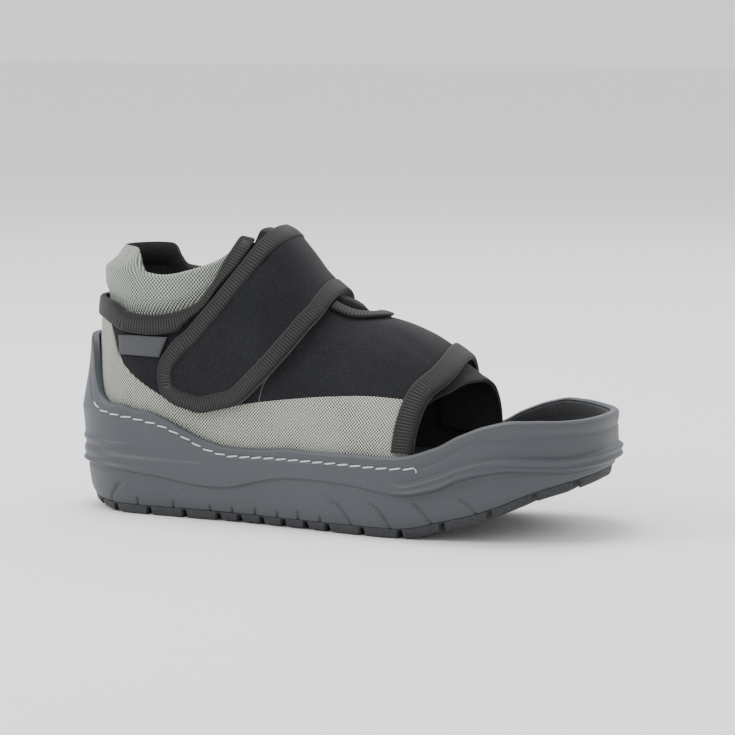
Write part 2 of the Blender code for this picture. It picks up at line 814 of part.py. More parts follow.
def build_upper():
    """Hollow upper: heel, quarters and vamp as one wall with a step at the panel line."""
    grids, lifts = [], []
    for side in (-1, 1):
        rows = []
        for along in UPPER_STATIONS:
            arounds = rib_arounds(along, side)
            rows.append([skin(slant(along, around), around) for around in arounds])
        grid = np.array(rows)
        grids.append(grid if side > 0 else grid[:, ::-1])
    points, quads = weld(grids)
    steps = {}
    for side, grid in zip((-1, 1), grids):
        for row in range(grid.shape[0]):
            for column in range(grid.shape[1]):
                level = column if side > 0 else grid.shape[1] - 1 - column
                steps[tuple(np.round(grid[row, column], 6))] = 0.0 if level <= 3 else -PANEL_STEP
    outer = np.array([steps[tuple(np.round(point, 6))] for point in points])
    shell("upper", points, quads, outer, -UPPER_WALL, (0.33, 0.34, 0.32), 0.9)


def build_tongue():
    """Tongue: follows the inside of the upper and swells a little in the open throat."""
    inside = UPPER_WALL + LAYER_GAP
    stations = [0.354, 0.375, 0.400, 0.430, 0.460, 0.485, 0.505, 0.528, 0.546, 0.562, 0.585, 0.612]
    across = [1.0, 0.86, 0.68, 0.5, 0.3, 0.1, -0.1, -0.3, -0.5, -0.68, -0.86, -1.0]
    rows, swell = [], []
    for along in stations:
        widen = TONGUE_HALF * (1 - 0.25 * ease((along - 0.5) / 0.13))
        puff = float(ease((along - 0.485) / 0.03) * ease((0.552 - along) / 0.03))
        line, lift = [], []
        for share in across:
            side = -1 if share < 0 else 1
            line.append(skin(along, around_at_width(along, side, abs(share) * widen)))
            room = THROAT_HALF * read(THROAT, along) - 0.0035
            bulge = ease((room - abs(share) * widen) / 0.007) if room > 0 else 0.0
            lift.append(-inside + bulge * (inside - LAYER_GAP + TONGUE_SWELL * puff))
        rows.append(line)
        swell.append(lift)
    points, quads = weld([np.array(rows)])
    lifts = np.array(swell).reshape(-1)
    shell("tongue", points, quads, lifts, lifts - TONGUE_WALL, (0.03, 0.03, 0.033))


def cuff_point(along, side, share):
    """Point on the outer face of the cuff: inside the upper, then on upward with a small lean."""
    station = float(foot_of(along, side)[0])
    top = CUFF_HEIGHT * float(read(CUFF, station))
    edge = float(top_around(along, side))
    edge_point = skin(along, edge)
    low = edge_point[2] - CUFF_DEPTH
    height = low + (top - low) * share
    if height <= edge_point[2]:
        return skin(along, float(around_at_height(along, side, height)))
    below = skin(along, float(around_at_height(along, side, edge_point[2] - 0.004)))
    lean = (edge_point[:2] - below[:2]) / 0.004
    over = height - edge_point[2]
    hub = np.array([x_at(ANKLE_CENTRE), 0.0])
    inward = hub - edge_point[:2]
    inward /= np.linalg.norm(inward)
    tilt = CUFF_LEAN * (over / (0.35 * CUFF_HEIGHT)) ** 2 * float(heel_share(station))
    swell = CUFF_SWELL * float(ease(over / 0.009) * ease((0.31 - station) / 0.1))
    return np.array([*(edge_point[:2] + lean * over * 0.7 + inward * (tilt - swell)), height])


def build_cuff():
    """Padded cuff inside the ankle opening, rising over the topline."""
    inside = UPPER_WALL + 1.6 * LAYER_GAP + GAP
    grids = []
    for side in (-1, 1):
        rows = []
        for along in [0.0, 0.035, 0.070, 0.090, 0.105, 0.120, 0.135, 0.150, 0.175, 0.205, 0.235, 0.262,
                      0.280, 0.293, 0.306, 0.318, 0.330, 0.342]:
            rows.append([cuff_point(along, side, share) for share in (0, 0.25, 0.5, 0.75, 0.92, 1.0)])
        grid = np.array(rows)
        grids.append(grid if side > 0 else grid[:, ::-1])
    points, quads = weld(grids)
    tops = {tuple(np.round(row[0 if side < 0 else -1], 6))
            for side, grid in zip((-1, 1), grids) for row in grid}
    outer = np.array([-inside - (0.0012 if tuple(np.round(point, 6)) in tops else 0) for point in points])
    inner = np.array([-inside - CUFF_WALL + (0.0012 if tuple(np.round(point, 6)) in tops else 0)
                      for point in points])
    shell("heel_cuff", points, quads, outer, inner, (0.09, 0.10, 0.09))


def tape_rows(path, width):
    """Rows of (along, around) across the tape; the path holds edge, inner point and share of the width."""
    rows = []
    for (edge_a, edge_r), (deep_a, deep_r), share_of_width in path:
        scale = share_of_width * width / np.linalg.norm(skin(edge_a, edge_r) - skin(deep_a, deep_r))
        rows.append([(edge_a + (deep_a - edge_a) * scale * share, edge_r + (deep_r - edge_r) * scale * share)
                     for share in (1.0, 0.5, 0.06)])
    return rows


def surface_normal(along, around):
    """Outward normal of the upper by small steps."""
    step_a = 0.002
    lower_a = max(along - step_a, 0.0005)
    down = max(around - 0.01, 0.001) if around <= 1 else around - 0.01
    up = around + 0.01 if around <= 1 else min(around + 0.01, 1.999)
    ahead = skin(along + step_a, around) - skin(lower_a, around)
    rise = skin(along, up) - skin(along, down)
    normal = np.cross(ahead, rise)
    normal /= np.linalg.norm(normal)
    return normal


def add_tape(name, path, width, colour):
    """Sweep the tape section along an edge of the upper."""
    verts = []
    rows = tape_rows(path, width)
    for row in rows:
        deep, half, near = (skin(a, r) for a, r in row)
        normal = [surface_normal(a, r) for a, r in row]
        edge_way = near - half
        edge_way /= np.linalg.norm(edge_way)
        edge = near + edge_way * 0.06 * width
        up = edge_way * (TAPE_GAP + TAPE)
        n = normal[2]
        verts += [
            deep + normal[0] * TAPE_GAP,
            deep + normal[0] * (TAPE_GAP + TAPE),
            half + normal[1] * (TAPE_GAP + TAPE),
            edge + n * (TAPE_GAP + TAPE) + up * 0.2,
            edge + n * 0.4 * (TAPE_GAP + TAPE) + up,
            edge - n * TAPE_TURN * UPPER_WALL + up,
            edge - n * TAPE_TURN * UPPER_WALL + edge_way * TAPE_GAP,
            edge + n * TAPE_GAP + edge_way * TAPE_GAP,
            half + normal[1] * TAPE_GAP,
        ]
    count = 9
    faces = []
    for index in range(len(rows) - 1):
        for corner in range(count):
            after = (corner + 1) % count
            faces.append((index * count + corner, index * count + after,
                          (index + 1) * count + after, (index + 1) * count + corner))
    faces.append(list(range(count)))
    faces.append([(len(rows) - 1) * count + corner for corner in range(count)])
    add_solid(name, verts, faces, colour)


def build_bindings():
    """Tapes over the topline, the throat and the front edge."""
    grey = (0.07, 0.07, 0.072)
    stations = [station for station in UPPER_STATIONS if station < 0.342]
    path = []
    for side, part in ((-1, stations[::-1]), (1, stations[1:])):
        for along in part:
            edge = float(top_around(along, side))
            path.append(((along, edge), (along, edge + 0.12 * side), float(read(TAPE_SHARE, along))))
    add_tape("topline_binding", path, TOPLINE_TAPE, grey)
    path = []
    spots = [0.496, 0.510, 0.530, 0.546, 0.556, 0.562]
    for side, part in ((-1, spots), (1, spots[::-1])):
        for along in part:
            edge = float(top_around(along, side))
            swing = ease((along - 0.535) / 0.03)
            path.append(((along, edge), (along + 0.02 * swing, edge + 0.1 * side * (1 - 0.7 * swing)), 1.0))
        if side < 0:
            path.append(((0.567, 1.0), (0.587, 1.0), 1.0))
    add_tape("throat_binding", path, THROAT_TAPE, grey)
    path = []
    ends = []
    for side, around in ((-1, 0.12), (1, 1.85)):
        foot = float(front_along(around)) - 0.02
        ends.append(float(around_at_height(foot, side, rim_z(foot) + 0.0015)))
    for around in np.linspace(ends[0], ends[1], 27):
        edge = float(front_along(around))
        back = 0.30 * float(ease((around - 0.4) / 0.2) * ease((1.0 - around) / 0.3))
        path.append(((edge, around), (edge - 0.03, around + 0.1 * back), 1.0))
    add_tape("toe_binding", path, TOE_TAPE, grey)


def patch(name, params, outer, inner, colour):
    """Sheet over a grid of (along, around) on the upper, between two offsets."""
    grid = np.array([[skin(a, r) for a, r in line] for line in params])
    points, quads = weld([grid])
    shell(name, points, quads, outer, inner, colour)


def build_strap():
    """Ankle strap over the instep; its bound edges are a step in its thickness."""
    across = [(0.0, 1), (0.16, 1), (0.18, 0), (0.42, 0), (0.62, 0), (0.80, 0), (0.82, 1), (1.0, 1)]
    marks = [0.0, 0.5, 1.0, 1.6, 2.3, 3.0, 4.0, 5.0, 6.0, 7.0, 8.0, 9.0, 10.0, 11.0]
    params, lifts = [], []
    for side, part in ((-1, marks), (1, marks[-2::-1])):
        for mark in part:
            top = (float(read(STRAP, mark, "top_along")), float(read(STRAP, mark, "top_around")))
            low = (float(read(STRAP, mark, "low_along")), float(read(STRAP, mark, "low_around")))
            line, lift = [], []
            for share, bound in across:
                along = top[0] + (low[0] - top[0]) * share
                around = top[1] + (low[1] - top[1]) * share
                line.append((along, around if side < 0 else 2 - around))
                lift.append(STRAP_WALL + (0.0006 if bound or mark < 0.4 else 0.0))
            params.append(line[::-1])
            lifts.append(lift[::-1])
    outer = LAYER_GAP + np.array(lifts).reshape(-1)
    patch("ankle_strap", params, outer, LAYER_GAP, (0.03, 0.03, 0.033))


def build_underlap():
    """Medial flap that shows under the front edge of the vamp."""
    inside = UPPER_WALL + LAYER_GAP + GAP
    params = []
    for around in [1.86, 1.68, 1.50, 1.32, 1.15, 1.0, 0.88, 0.78, 0.68, 0.60, 0.53, 0.46]:
        edge = float(read(FRONT, around, "flap"))
        start = 0.640
        params.append([(start + (edge - start) * share, around) for share in (0.0, 0.25, 0.5, 0.75, 1.0)])
    patch("vamp_underlap", params, -inside, -inside - FLAP_WALL, (0.03, 0.03, 0.033))


def build_tab():
    """Small label on the lateral heel, left bare."""
    params = []
    for share in (0.0, 0.25, 0.5, 0.75, 1.0):
        top = (0.099 + 0.103 * share, 0.138 + 0.048 * share)
        low = (0.103 + 0.080 * share, 0.100 + 0.029 * share)
        params.append([(top[0] + (low[0] - top[0]) * k, top[1] + (low[1] - top[1]) * k)
                       for k in (0.0, 0.5, 1.0)][::-1])
    patch("side_tab", params, GAP + TAB_WALL, GAP, (0.11, 0.11, 0.12))


def clear_scene():
    """Start from an empty file."""
    for thing in list(bpy.data.objects):
        bpy.data.objects.remove(thing, do_unlink=True)


def centre_all():
    """Move the whole shoe so that its box is centred on the origin and stands on Z = 0."""
    bpy.context.view_layer.update()
    corners = [np.array(thing.matrix_world @ vertex.co) for thing in bpy.data.objects
               for vertex in thing.data.vertices]
    low, high = np.min(corners, axis=0), np.max(corners, axis=0)
    for thing in bpy.data.objects:
        thing.location.x -= (low[0] + high[0]) / 2
        thing.location.y -= (low[1] + high[1]) / 2
        thing.location.z -= low[2]


def main():
    """Build every piece of the shoe."""
    clear_scene()
    build_outsole()
    build_midsole()
    build_insole()
    build_upper()
    build_tongue()
    build_cuff()
    build_bindings()
    build_strap()
    build_underlap()
    build_tab()
    centre_all()


main()
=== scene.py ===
# Post operative shoe, right foot: the looks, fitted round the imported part.
# Toe towards +X, the outer side of the foot towards -Y, standing on Z = 0. Lengths in metres.
import math

import bmesh
import bpy
import numpy as np
from mathutils import Matrix, Vector


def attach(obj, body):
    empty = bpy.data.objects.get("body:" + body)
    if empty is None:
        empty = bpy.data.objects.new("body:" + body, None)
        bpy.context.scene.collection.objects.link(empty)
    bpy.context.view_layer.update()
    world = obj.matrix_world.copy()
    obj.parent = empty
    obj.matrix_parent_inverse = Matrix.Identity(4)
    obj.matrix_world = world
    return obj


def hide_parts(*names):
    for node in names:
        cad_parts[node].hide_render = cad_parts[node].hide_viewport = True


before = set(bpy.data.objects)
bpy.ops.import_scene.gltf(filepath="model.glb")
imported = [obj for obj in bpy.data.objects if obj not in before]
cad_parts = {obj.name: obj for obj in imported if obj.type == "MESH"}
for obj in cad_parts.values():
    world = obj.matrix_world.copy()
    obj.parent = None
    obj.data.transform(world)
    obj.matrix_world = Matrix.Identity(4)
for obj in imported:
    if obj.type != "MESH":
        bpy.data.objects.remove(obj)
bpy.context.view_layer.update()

# shape of the last, shared by every piece
last = {
    "length": 0.292, "width": 0.106, "sideShift": 0.00284,
    "gap": 0.0003, "layer": 0.0006,
    "toeSpring": 0.0285, "heelBevel": 0.0038, "archLift": 0.0009,
    "lug": 0.0042, "web": 0.0008,
    "waveRise": 0.0209, "sideRise": 0.034, "counterRise": 0.0325, "counterLean": 0.0045,
    "cupWall": 0.0045, "floorRise": 0.0247, "bandProud": 0.0024,
    "wall": 0.0025, "foot": 0.0008, "instep": 0.149, "topline": 0.1045, "panel": 0.07,
    "step": 0.0006, "ankle": 0.235, "ridge": 0.005, "heelTuck": 0.005, "throat": 0.02,
}
toeEnd = 1 - last["bandProud"] / last["length"]
skinInset = last["cupWall"] + last["gap"]

# station, half width on the outer side, half width on the inner side
outlineRows = [
    (0.0, 0.3, 0.3), (0.08, 0.335, 0.335), (0.15, 0.352, 0.345), (0.25, 0.375, 0.35),
    (0.35, 0.405, 0.345), (0.45, 0.45, 0.35), (0.55, 0.5, 0.38), (0.65, 0.535, 0.425),
    (0.72, 0.54, 0.455), (0.8, 0.525, 0.48), (0.88, 0.5, 0.49), (1.0, 0.46, 0.48),
]
# station, share of the heel bevel, of the arch lift, of the toe spring
groundRows = [
    (0.0, 1.0, 0.0, 0.0), (0.04, 0.62, 0.0, 0.0), (0.08, 0.26, 0.0, 0.0), (0.12, 0.07, 0.0, 0.0),
    (0.16, 0.0, 0.0, 0.0), (0.27, 0.0, 0.0, 0.0), (0.33, 0.0, 1.0, 0.0), (0.5, 0.0, 1.0, 0.0),
    (0.57, 0.0, 0.0, 0.0), (0.66, 0.0, 0.0, 0.0), (0.76, 0.0, 0.0, 0.21), (0.83, 0.0, 0.0, 0.41),
    (0.91, 0.0, 0.0, 0.73), (0.98, 0.0, 0.0, 0.93), (1.0, 0.0, 0.0, 1.0),
]
waveRows = [
    (0.0, 0.95), (0.06, 0.93), (0.12, 0.87), (0.19, 0.78), (0.28, 0.62), (0.32, 0.61), (0.37, 0.74),
    (0.41, 0.88), (0.46, 0.99), (0.52, 1.0), (0.58, 0.97), (0.64, 0.86), (0.7, 0.77), (0.74, 0.76),
    (0.78, 0.87), (0.81, 0.89), (0.85, 0.8), (0.9, 0.51), (0.95, 0.27), (1.0, 0.16),
]
rimRows = [
    (0.0, 0.98), (0.06, 0.98), (0.12, 1.0), (0.15, 0.96), (0.17, 0.96), (0.21, 0.9), (0.24, 0.83),
    (0.29, 0.7), (0.34, 0.61), (0.42, 0.47), (0.52, 0.43), (0.61, 0.49), (0.69, 0.59), (0.73, 0.63),
    (0.77, 0.66), (0.81, 0.69), (0.88, 0.74), (0.94, 0.75), (1.0, 0.71),
]
counterRows = [
    (0.0, 1.0), (0.012, 0.97), (0.03, 0.78), (0.05, 0.36), (0.07, 0.1), (0.095, 0.0), (1.0, 0.0),
]
floorRows = [
    (0.0, 1.0), (0.3, 0.96), (0.5, 0.92), (0.65, 0.9), (0.75, 0.84), (0.83, 0.77), (0.9, 0.62),
    (1.0, 0.55),
]
# station, crest of the upper, fullness of its section
sectionRows = [
    (0.0, 1.175, 4.0), (0.12, 1.15, 3.7), (0.22, 1.09, 3.3), (0.3, 1.03, 3.0), (0.36, 1.0, 2.8),
    (0.39, 0.975, 2.65), (0.42, 0.915, 2.5), (0.45, 0.842, 2.4), (0.48, 0.79, 2.3), (0.51, 0.75, 2.25),
    (0.54, 0.722, 2.2), (0.57, 0.708, 2.15), (0.61, 0.69, 2.1), (0.66, 0.652, 2.1), (0.7, 0.604, 2.1),
    (0.74, 0.548, 2.1), (0.78, 0.49, 2.1), (1.0, 0.3, 2.1),
]
toplineRows = [
    (0.0, 1.06), (0.08, 1.04), (0.12, 0.995), (0.17, 0.984), (0.21, 0.996), (0.25, 1.03), (0.275, 1.072),
    (0.29, 1.125), (0.305, 1.2), (0.324, 1.315), (0.36, 1.5), (1.0, 1.6),
]
throatRows = [
    (0.0, 1.05), (0.36, 1.0), (0.42, 0.92), (0.48, 0.77), (0.52, 0.67), (0.543, 0.48), (0.556, 0.28),
    (0.563, 0.13), (0.567, 0.0), (1.0, 0.0),
]
panelRows = [
    (0.0, 1.46), (0.072, 1.4), (0.085, 1.32), (0.1, 1.19), (0.127, 1.07), (0.158, 0.98), (0.194, 0.9),
    (0.225, 0.845), (0.317, 0.845), (0.378, 0.887), (0.455, 0.935), (0.529, 0.97), (0.62, 0.993),
    (1.0, 1.01),
]
# value around the section, station of the upper's front edge, station of the flap's front edge
frontRows = [
    (0.0, 0.687, 0.7), (0.2, 0.6895, 0.7), (0.35, 0.696, 0.702), (0.46, 0.704, 0.708),
    (0.53, 0.713, 0.72), (0.64, 0.725, 0.737), (0.78, 0.729, 0.748), (1.0, 0.724, 0.76),
    (1.2, 0.718, 0.762), (1.5, 0.709, 0.757), (2.0, 0.7, 0.745),
]


def curve(start, rise, entry, leave, share):
    # smooth step from start over rise, with its slopes at both ends
    return start + entry * share + (3 * rise - 2 * entry - leave) * share ** 2 + (entry + leave - 2 * rise) * share ** 3


def unit(vectors):
    return vectors / np.linalg.norm(vectors, axis=-1)[..., None]


def runOf(points):
    # length along a line of points, from its start to each of them
    return np.concatenate([[0], np.cumsum(np.linalg.norm(np.diff(points, axis=0), axis=1))])


def bySide(side, value):
    # places around the section are counted from the outer foot, so the inner side is mirrored
    return np.where(np.asarray(side) < 0, value, 2 - value)


def read(rows, at, column=1):
    # smooth value of one column of a table
    at = np.asarray(at, float)
    keys = np.array([row[0] for row in rows])
    values = np.array([row[column] for row in rows])
    steps = np.diff(keys)
    rates = np.diff(values) / steps
    slopes = np.zeros(len(keys))
    for index in range(1, len(keys) - 1):
        before, after = rates[index - 1], rates[index]
        if before * after > 0:
            slopes[index] = 2 * before * after / (before + after)
    slopes[0], slopes[-1] = rates[0], rates[-1]
    cell = np.clip(np.searchsorted(keys, at, side="right") - 1, 0, len(steps) - 1)
    share = np.clip((at - keys[cell]) / steps[cell], 0, 1)
    rise = values[cell + 1] - values[cell]
    return curve(values[cell], rise, slopes[cell] * steps[cell], slopes[cell + 1] * steps[cell], share)


def ease(value):
    value = np.clip(value, 0, 1)
    return value * value * (3 - 2 * value)


def bell(distance, width):
    return np.exp(-(np.asarray(distance) / width) ** 2)


def xAt(along):
    return (np.asarray(along) - 0.5) * last["length"]


def outlineY(along, side):
    # side is -1 for the outer side of the foot, 1 for the inner side
    along = np.asarray(along, float)
    heel = np.clip((0.13 - along) / 0.13, 0, 1)
    toe = np.clip((along - 0.8) / (toeEnd - 0.8), 0, 1)
    rounded = (1 - heel ** 2.2) ** (1 / 2.2) * (1 - toe ** 2.3) ** (1 / 2.3)
    swing = 0.03 * last["width"] * np.clip((along - 0.8) / 0.2, 0, 1)
    return side * last["width"] * read(outlineRows, along, 1 if side < 0 else 2) * rounded + swing


def fineStations(count):
    # stations from heel to toe, closest at both ends
    return toeEnd * (1 - np.cos(np.linspace(0, np.pi, count))) / 2


def soleStations(count, crowd=None):
    # stations from heel to toe at even steps round the outline, closer where crowd asks for it
    fine = fineStations(6001)
    half = (outlineY(fine, 1) - outlineY(fine, -1)) / 2
    steps = np.hypot(np.diff(xAt(fine)), np.diff(half))
    if crowd is not None:
        steps = steps * crowd((fine[1:] + fine[:-1]) / 2)
    run = np.concatenate([[0], np.cumsum(steps)])
    return np.interp(np.linspace(0, run[-1], count + 1), run, fine)


def loopOf(stations):
    # outline loop: outer side from heel to toe, inner side back
    along = np.concatenate([stations, stations[-2:0:-1]])
    side = np.concatenate([-np.ones(len(stations)), np.ones(len(stations) - 2)])
    y = np.where(side < 0, outlineY(along, -1), outlineY(along, 1))
    points = np.stack([xAt(along), y], axis=1)
    tangent = unit(np.roll(points, -1, axis=0) - np.roll(points, 1, axis=0))
    return along, side, points, np.stack([tangent[:, 1], -tangent[:, 0]], axis=1)


def toeLift(along):
    return last["toeSpring"] * read(groundRows, along, 3)


def treadTop(along):
    # underside of the cup where the heel isn't bevelled
    return toeLift(along) + last["lug"] + last["web"] + last["gap"]


def treadZ(along):
    return (toeLift(along) + last["heelBevel"] * read(groundRows, along, 1)
            + last["archLift"] * read(groundRows, along, 2))


def baseZ(along):
    return (toeLift(along) + 0.45 * last["heelBevel"] * read(groundRows, along, 1)
            + last["lug"] + last["web"] + last["gap"])


def waveZ(along):
    return treadTop(along) + last["waveRise"] * read(waveRows, along)


def rimZ(along):
    return waveZ(along) + last["sideRise"] * read(rimRows, along)


def floorZ(along):
    return treadTop(along) + last["floorRise"] * read(floorRows, along)


def heelShare(along):
    return ease((0.15 - np.asarray(along)) / 0.15)


def tuck(height):
    low = last["sideRise"] + 0.2 * last["counterRise"]
    return ease((np.asarray(height) - low) / (1.5 * last["counterRise"]))


def insetPoints(stations, side, inset):
    fine = fineStations(1441)
    points = np.stack([xAt(fine), outlineY(fine, side)], axis=1)
    tangent = np.gradient(points, axis=0)
    tangent[0] = (0, side)
    tangent[-1] = (0, -side)
    tangent = unit(tangent)
    inward = np.stack([tangent[:, 1], -tangent[:, 0]], axis=1) * side
    return np.stack([np.interp(stations, fine, points[:, axis]) + np.interp(stations, fine, inward[:, axis]) * inset
                     for axis in (0, 1)], axis=1)


def insetCurve(side, inset):
    fine = fineStations(1441)
    curve = insetPoints(fine, side, inset)
    return curve[np.argsort(curve[:, 0])]


edgeCurve = {-1: insetCurve(-1, skinInset), 1: insetCurve(1, skinInset)}


def ridgeY(along):
    return last["ridge"] * ease((np.asarray(along) - last["ankle"]) / (0.6 - last["ankle"]))


def fanRadius(side, angle):
    curve = edgeCurve[side]
    dx = xAt(last["ankle"]) - curve[:, 0]
    dy = (curve[:, 1] - ridgeY(last["ankle"])) * side
    turn = np.arctan2(dy, dx)
    order = np.argsort(turn)
    return np.interp(angle, turn[order], np.hypot(dx, dy)[order])


def footOf(along, side):
    # station, foot distance, direction and hub of a rib of the upper
    fan = along < last["ankle"]
    angle = np.clip(along / last["ankle"], 0, 1) * np.pi / 2
    outer = np.interp(xAt(along), edgeCurve[-1][:, 0], edgeCurve[-1][:, 1])
    inner = np.interp(xAt(along), edgeCurve[1][:, 0], edgeCurve[1][:, 1])
    flat = np.where(side < 0, ridgeY(along) - outer, inner - ridgeY(along))
    swept = np.where(side < 0, fanRadius(-1, angle), fanRadius(1, angle))
    radius = np.where(fan, swept, flat)
    direction = np.stack([np.where(fan, -np.cos(angle), 0), np.where(fan, np.sin(angle), 1) * side], axis=-1)
    hub = np.stack([np.where(fan, xAt(last["ankle"]), xAt(along)),
                    np.where(fan, ridgeY(last["ankle"]), ridgeY(along))], axis=-1)
    station = (hub[..., 0] + direction[..., 0] * radius) / last["length"] + 0.5
    return station, radius, direction, hub


def sectionOf(station):
    low = floorZ(station) + last["foot"]
    return low, last["instep"] * read(sectionRows, station, 1), read(sectionRows, station, 2)


def skin(along, around):
    # point of the upper's outer surface; around runs 0 outer foot, 1 ridge, 2 inner foot
    along, around = np.broadcast_arrays(np.asarray(along, float), np.asarray(around, float))
    behind = along < 0
    around = np.where(behind, 2 - around, around)
    along = np.abs(along)
    side = np.where(around <= 1, -1.0, 1.0)
    turn = np.clip(np.where(around <= 1, around, 2 - around), 0, 1) * np.pi / 2
    station, radius, direction, hub = footOf(along, side)
    low, crest, power = sectionOf(station)
    height = low + (crest - low) * np.sin(turn) ** (2 / power)
    reach = radius * np.cos(turn) ** (2 / power)
    reach = reach - last["heelTuck"] * heelShare(station - skinInset / last["length"]) * tuck(height)
    flat = hub + direction * reach[..., None]
    return np.concatenate([flat, height[..., None]], axis=-1)


def skinFrame(along, around):
    # point, outward normal and the two derivatives of the upper's surface
    along, around = np.broadcast_arrays(np.asarray(along, float), np.asarray(around, float))
    stepA, stepR = 0.0015, 0.004
    down = np.clip(around - stepR, 0.002, 1.998)
    up = np.clip(around + stepR, 0.002, 1.998)
    byAlong = (skin(along + stepA, around) - skin(along - stepA, around)) / (2 * stepA)
    byAround = (skin(along, up) - skin(along, down)) / (up - down)[..., None]
    normal = np.cross(byAlong, byAround)
    normal /= np.maximum(np.linalg.norm(normal, axis=-1), 1e-12)[..., None]
    return skin(along, around), normal, byAlong, byAround


def aroundAtHeight(along, side, height):
    station = footOf(along, side)[0]
    low, crest, power = sectionOf(station)
    share = np.clip((height - low) / (crest - low), 0, 1)
    return bySide(side, np.arcsin(share ** (power / 2)) / (np.pi / 2))


def aroundAtWidth(along, side, width):
    station, radius = footOf(along, side)[:2]
    power = sectionOf(station)[2]
    share = np.clip(width / radius, 0, 1)
    return bySide(side, np.arccos(share ** (power / 2)) / (np.pi / 2))


def topAround(along, side):
    # topline at the ankle, edge of the throat over the instep
    along = np.asarray(along, float)
    side = np.asarray(side, float)
    station = footOf(along, side)[0]
    line = aroundAtHeight(along, side, last["topline"] * read(toplineRows, station))
    throat = aroundAtWidth(along, side, last["throat"] * read(throatRows, station))
    return bySide(side, np.minimum(bySide(side, line), bySide(side, throat)))


# mesh tools
def makeMesh(name, points, faces, finish, uvs=None, closeUp=True, sharp=50.0, faceFinish=None):
    points = np.asarray(points, float) + (0, last["sideShift"], 0)
    mesh = bpy.data.meshes.new(name)
    mesh.from_pydata(points.tolist(), [], faces if isinstance(faces, list) else faces.tolist())
    if uvs is not None:
        layer = mesh.uv_layers.new(name="cloth")
        layer.data.foreach_set("uv", np.asarray(uvs, np.float32).ravel())
    for look in (finish if isinstance(finish, (list, tuple)) else [finish]):
        mesh.materials.append(look)
    if faceFinish is not None:
        mesh.polygons.foreach_set("material_index", np.asarray(faceFinish, np.int32))
    if closeUp:
        work = bmesh.new()
        work.from_mesh(mesh)
        bmesh.ops.recalc_face_normals(work, faces=work.faces)
        work.to_mesh(mesh)
        work.free()
    mesh.polygons.foreach_set("use_smooth", np.ones(len(mesh.polygons), bool))
    mesh.set_sharp_from_angle(angle=math.radians(sharp))
    return place(name, mesh)


def place(name, data):
    thing = bpy.data.objects.new(name, data)
    bpy.context.scene.collection.objects.link(thing)
    return thing


def addToShoe(piece, slotName, *cadNodes):
    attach(piece, "root")
    if cadNodes:
        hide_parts(*cadNodes)
    print("made", piece.name, len(piece.data.polygons), "faces")
    return piece


def ringFaces(rows, columns, closed=True):
    # quads of a grid whose rows are closed rings (or open lines)
    r, c = np.meshgrid(np.arange(rows - 1), np.arange(columns if closed else columns - 1), indexing="ij")
    after = (c + 1) % columns
    return np.stack([r * columns + c, r * columns + after, (r + 1) * columns + after,
                     (r + 1) * columns + c], axis=-1).reshape(-1, 4)


def barFaces(rows, columns):
    # closed bar: its rows run along it and close round it, its two ends are flat
    faces = ringFaces(rows, columns, closed=False).tolist()
    faces += [[(rows - 1) * columns + k, (rows - 1) * columns + k + 1, k + 1, k] for k in range(columns - 1)]
    return faces + [[row * columns for row in range(rows)], [row * columns + columns - 1 for row in range(rows)]]


def capFaces(start, half):
    # faces across one outline ring: each outer point paired with the inner one of the same station
    count = 2 * half
    faces = [(start, start + 1, start + count - 1)]
    for column in range(1, half - 1):
        faces.append((start + column, start + column + 1, start + count - column - 1, start + count - column))
    faces.append((start + half - 1, start + half, start + half + 1))
    return faces


def weldGrids(grids, uvGrids):
    # several point grids as one sheet: points, quads, and the uv of each quad corner
    points = np.concatenate([grid.reshape(-1, 3) for grid in grids])
    uvs = np.concatenate([grid.reshape(-1, 2) for grid in uvGrids])
    _, first, inverse = np.unique(np.round(points, 6), axis=0, return_index=True, return_inverse=True)
    inverse = inverse.reshape(-1)
    quads, start = [], 0
    for grid in grids:
        rows, columns = grid.shape[:2]
        quads.append(ringFaces(rows, columns, closed=False) + start)
        start += rows * columns
    quads = np.concatenate(quads)
    return points[first], inverse[quads], uvs[quads], first


def sheetNormals(points, quads):
    face = np.cross(points[quads[:, 2]] - points[quads[:, 0]], points[quads[:, 3]] - points[quads[:, 1]])
    normals = np.zeros_like(points)
    for corner in range(4):
        np.add.at(normals, quads[:, corner], face)
    normals /= np.maximum(np.linalg.norm(normals, axis=1), 1e-15)[:, None]
    hub = np.array([xAt(0.4), 0.0, 0.45 * last["topline"]])
    return normals if np.sum(normals * (points - hub)) > 0 else -normals


def twoSides(sheetOf, upright=False):
    # both halves of a sheet as one; sheetOf gives a side's grid and a mark for each of its points
    grids, uvGrids, marks = [], [], []
    for side in (-1, 1):
        grid, mark = sheetOf(side)
        grids.append(grid[:, ::side])
        uvGrids.append(clothUv(grid, side, upright)[:, ::side])
        marks.append(np.broadcast_to(mark, grid.shape[:2])[:, ::side].reshape(-1))
    points, quads, uvs, first = weldGrids(grids, uvGrids)
    return points, quads, uvs, np.concatenate(marks)[first]


def oneSheet(grid, mark=0.0):
    points, quads, uvs, first = weldGrids([grid], [clothUv(grid, 1)])
    return points, quads, uvs, np.broadcast_to(mark, grid.shape[:2]).reshape(-1)[first]


def quarterRound(nearness):
    # how far a rounded edge falls away, 1 at the edge itself and 0 inside it
    return 1 - np.sqrt(np.clip(1 - (1 - nearness) ** 2, 0, 1))


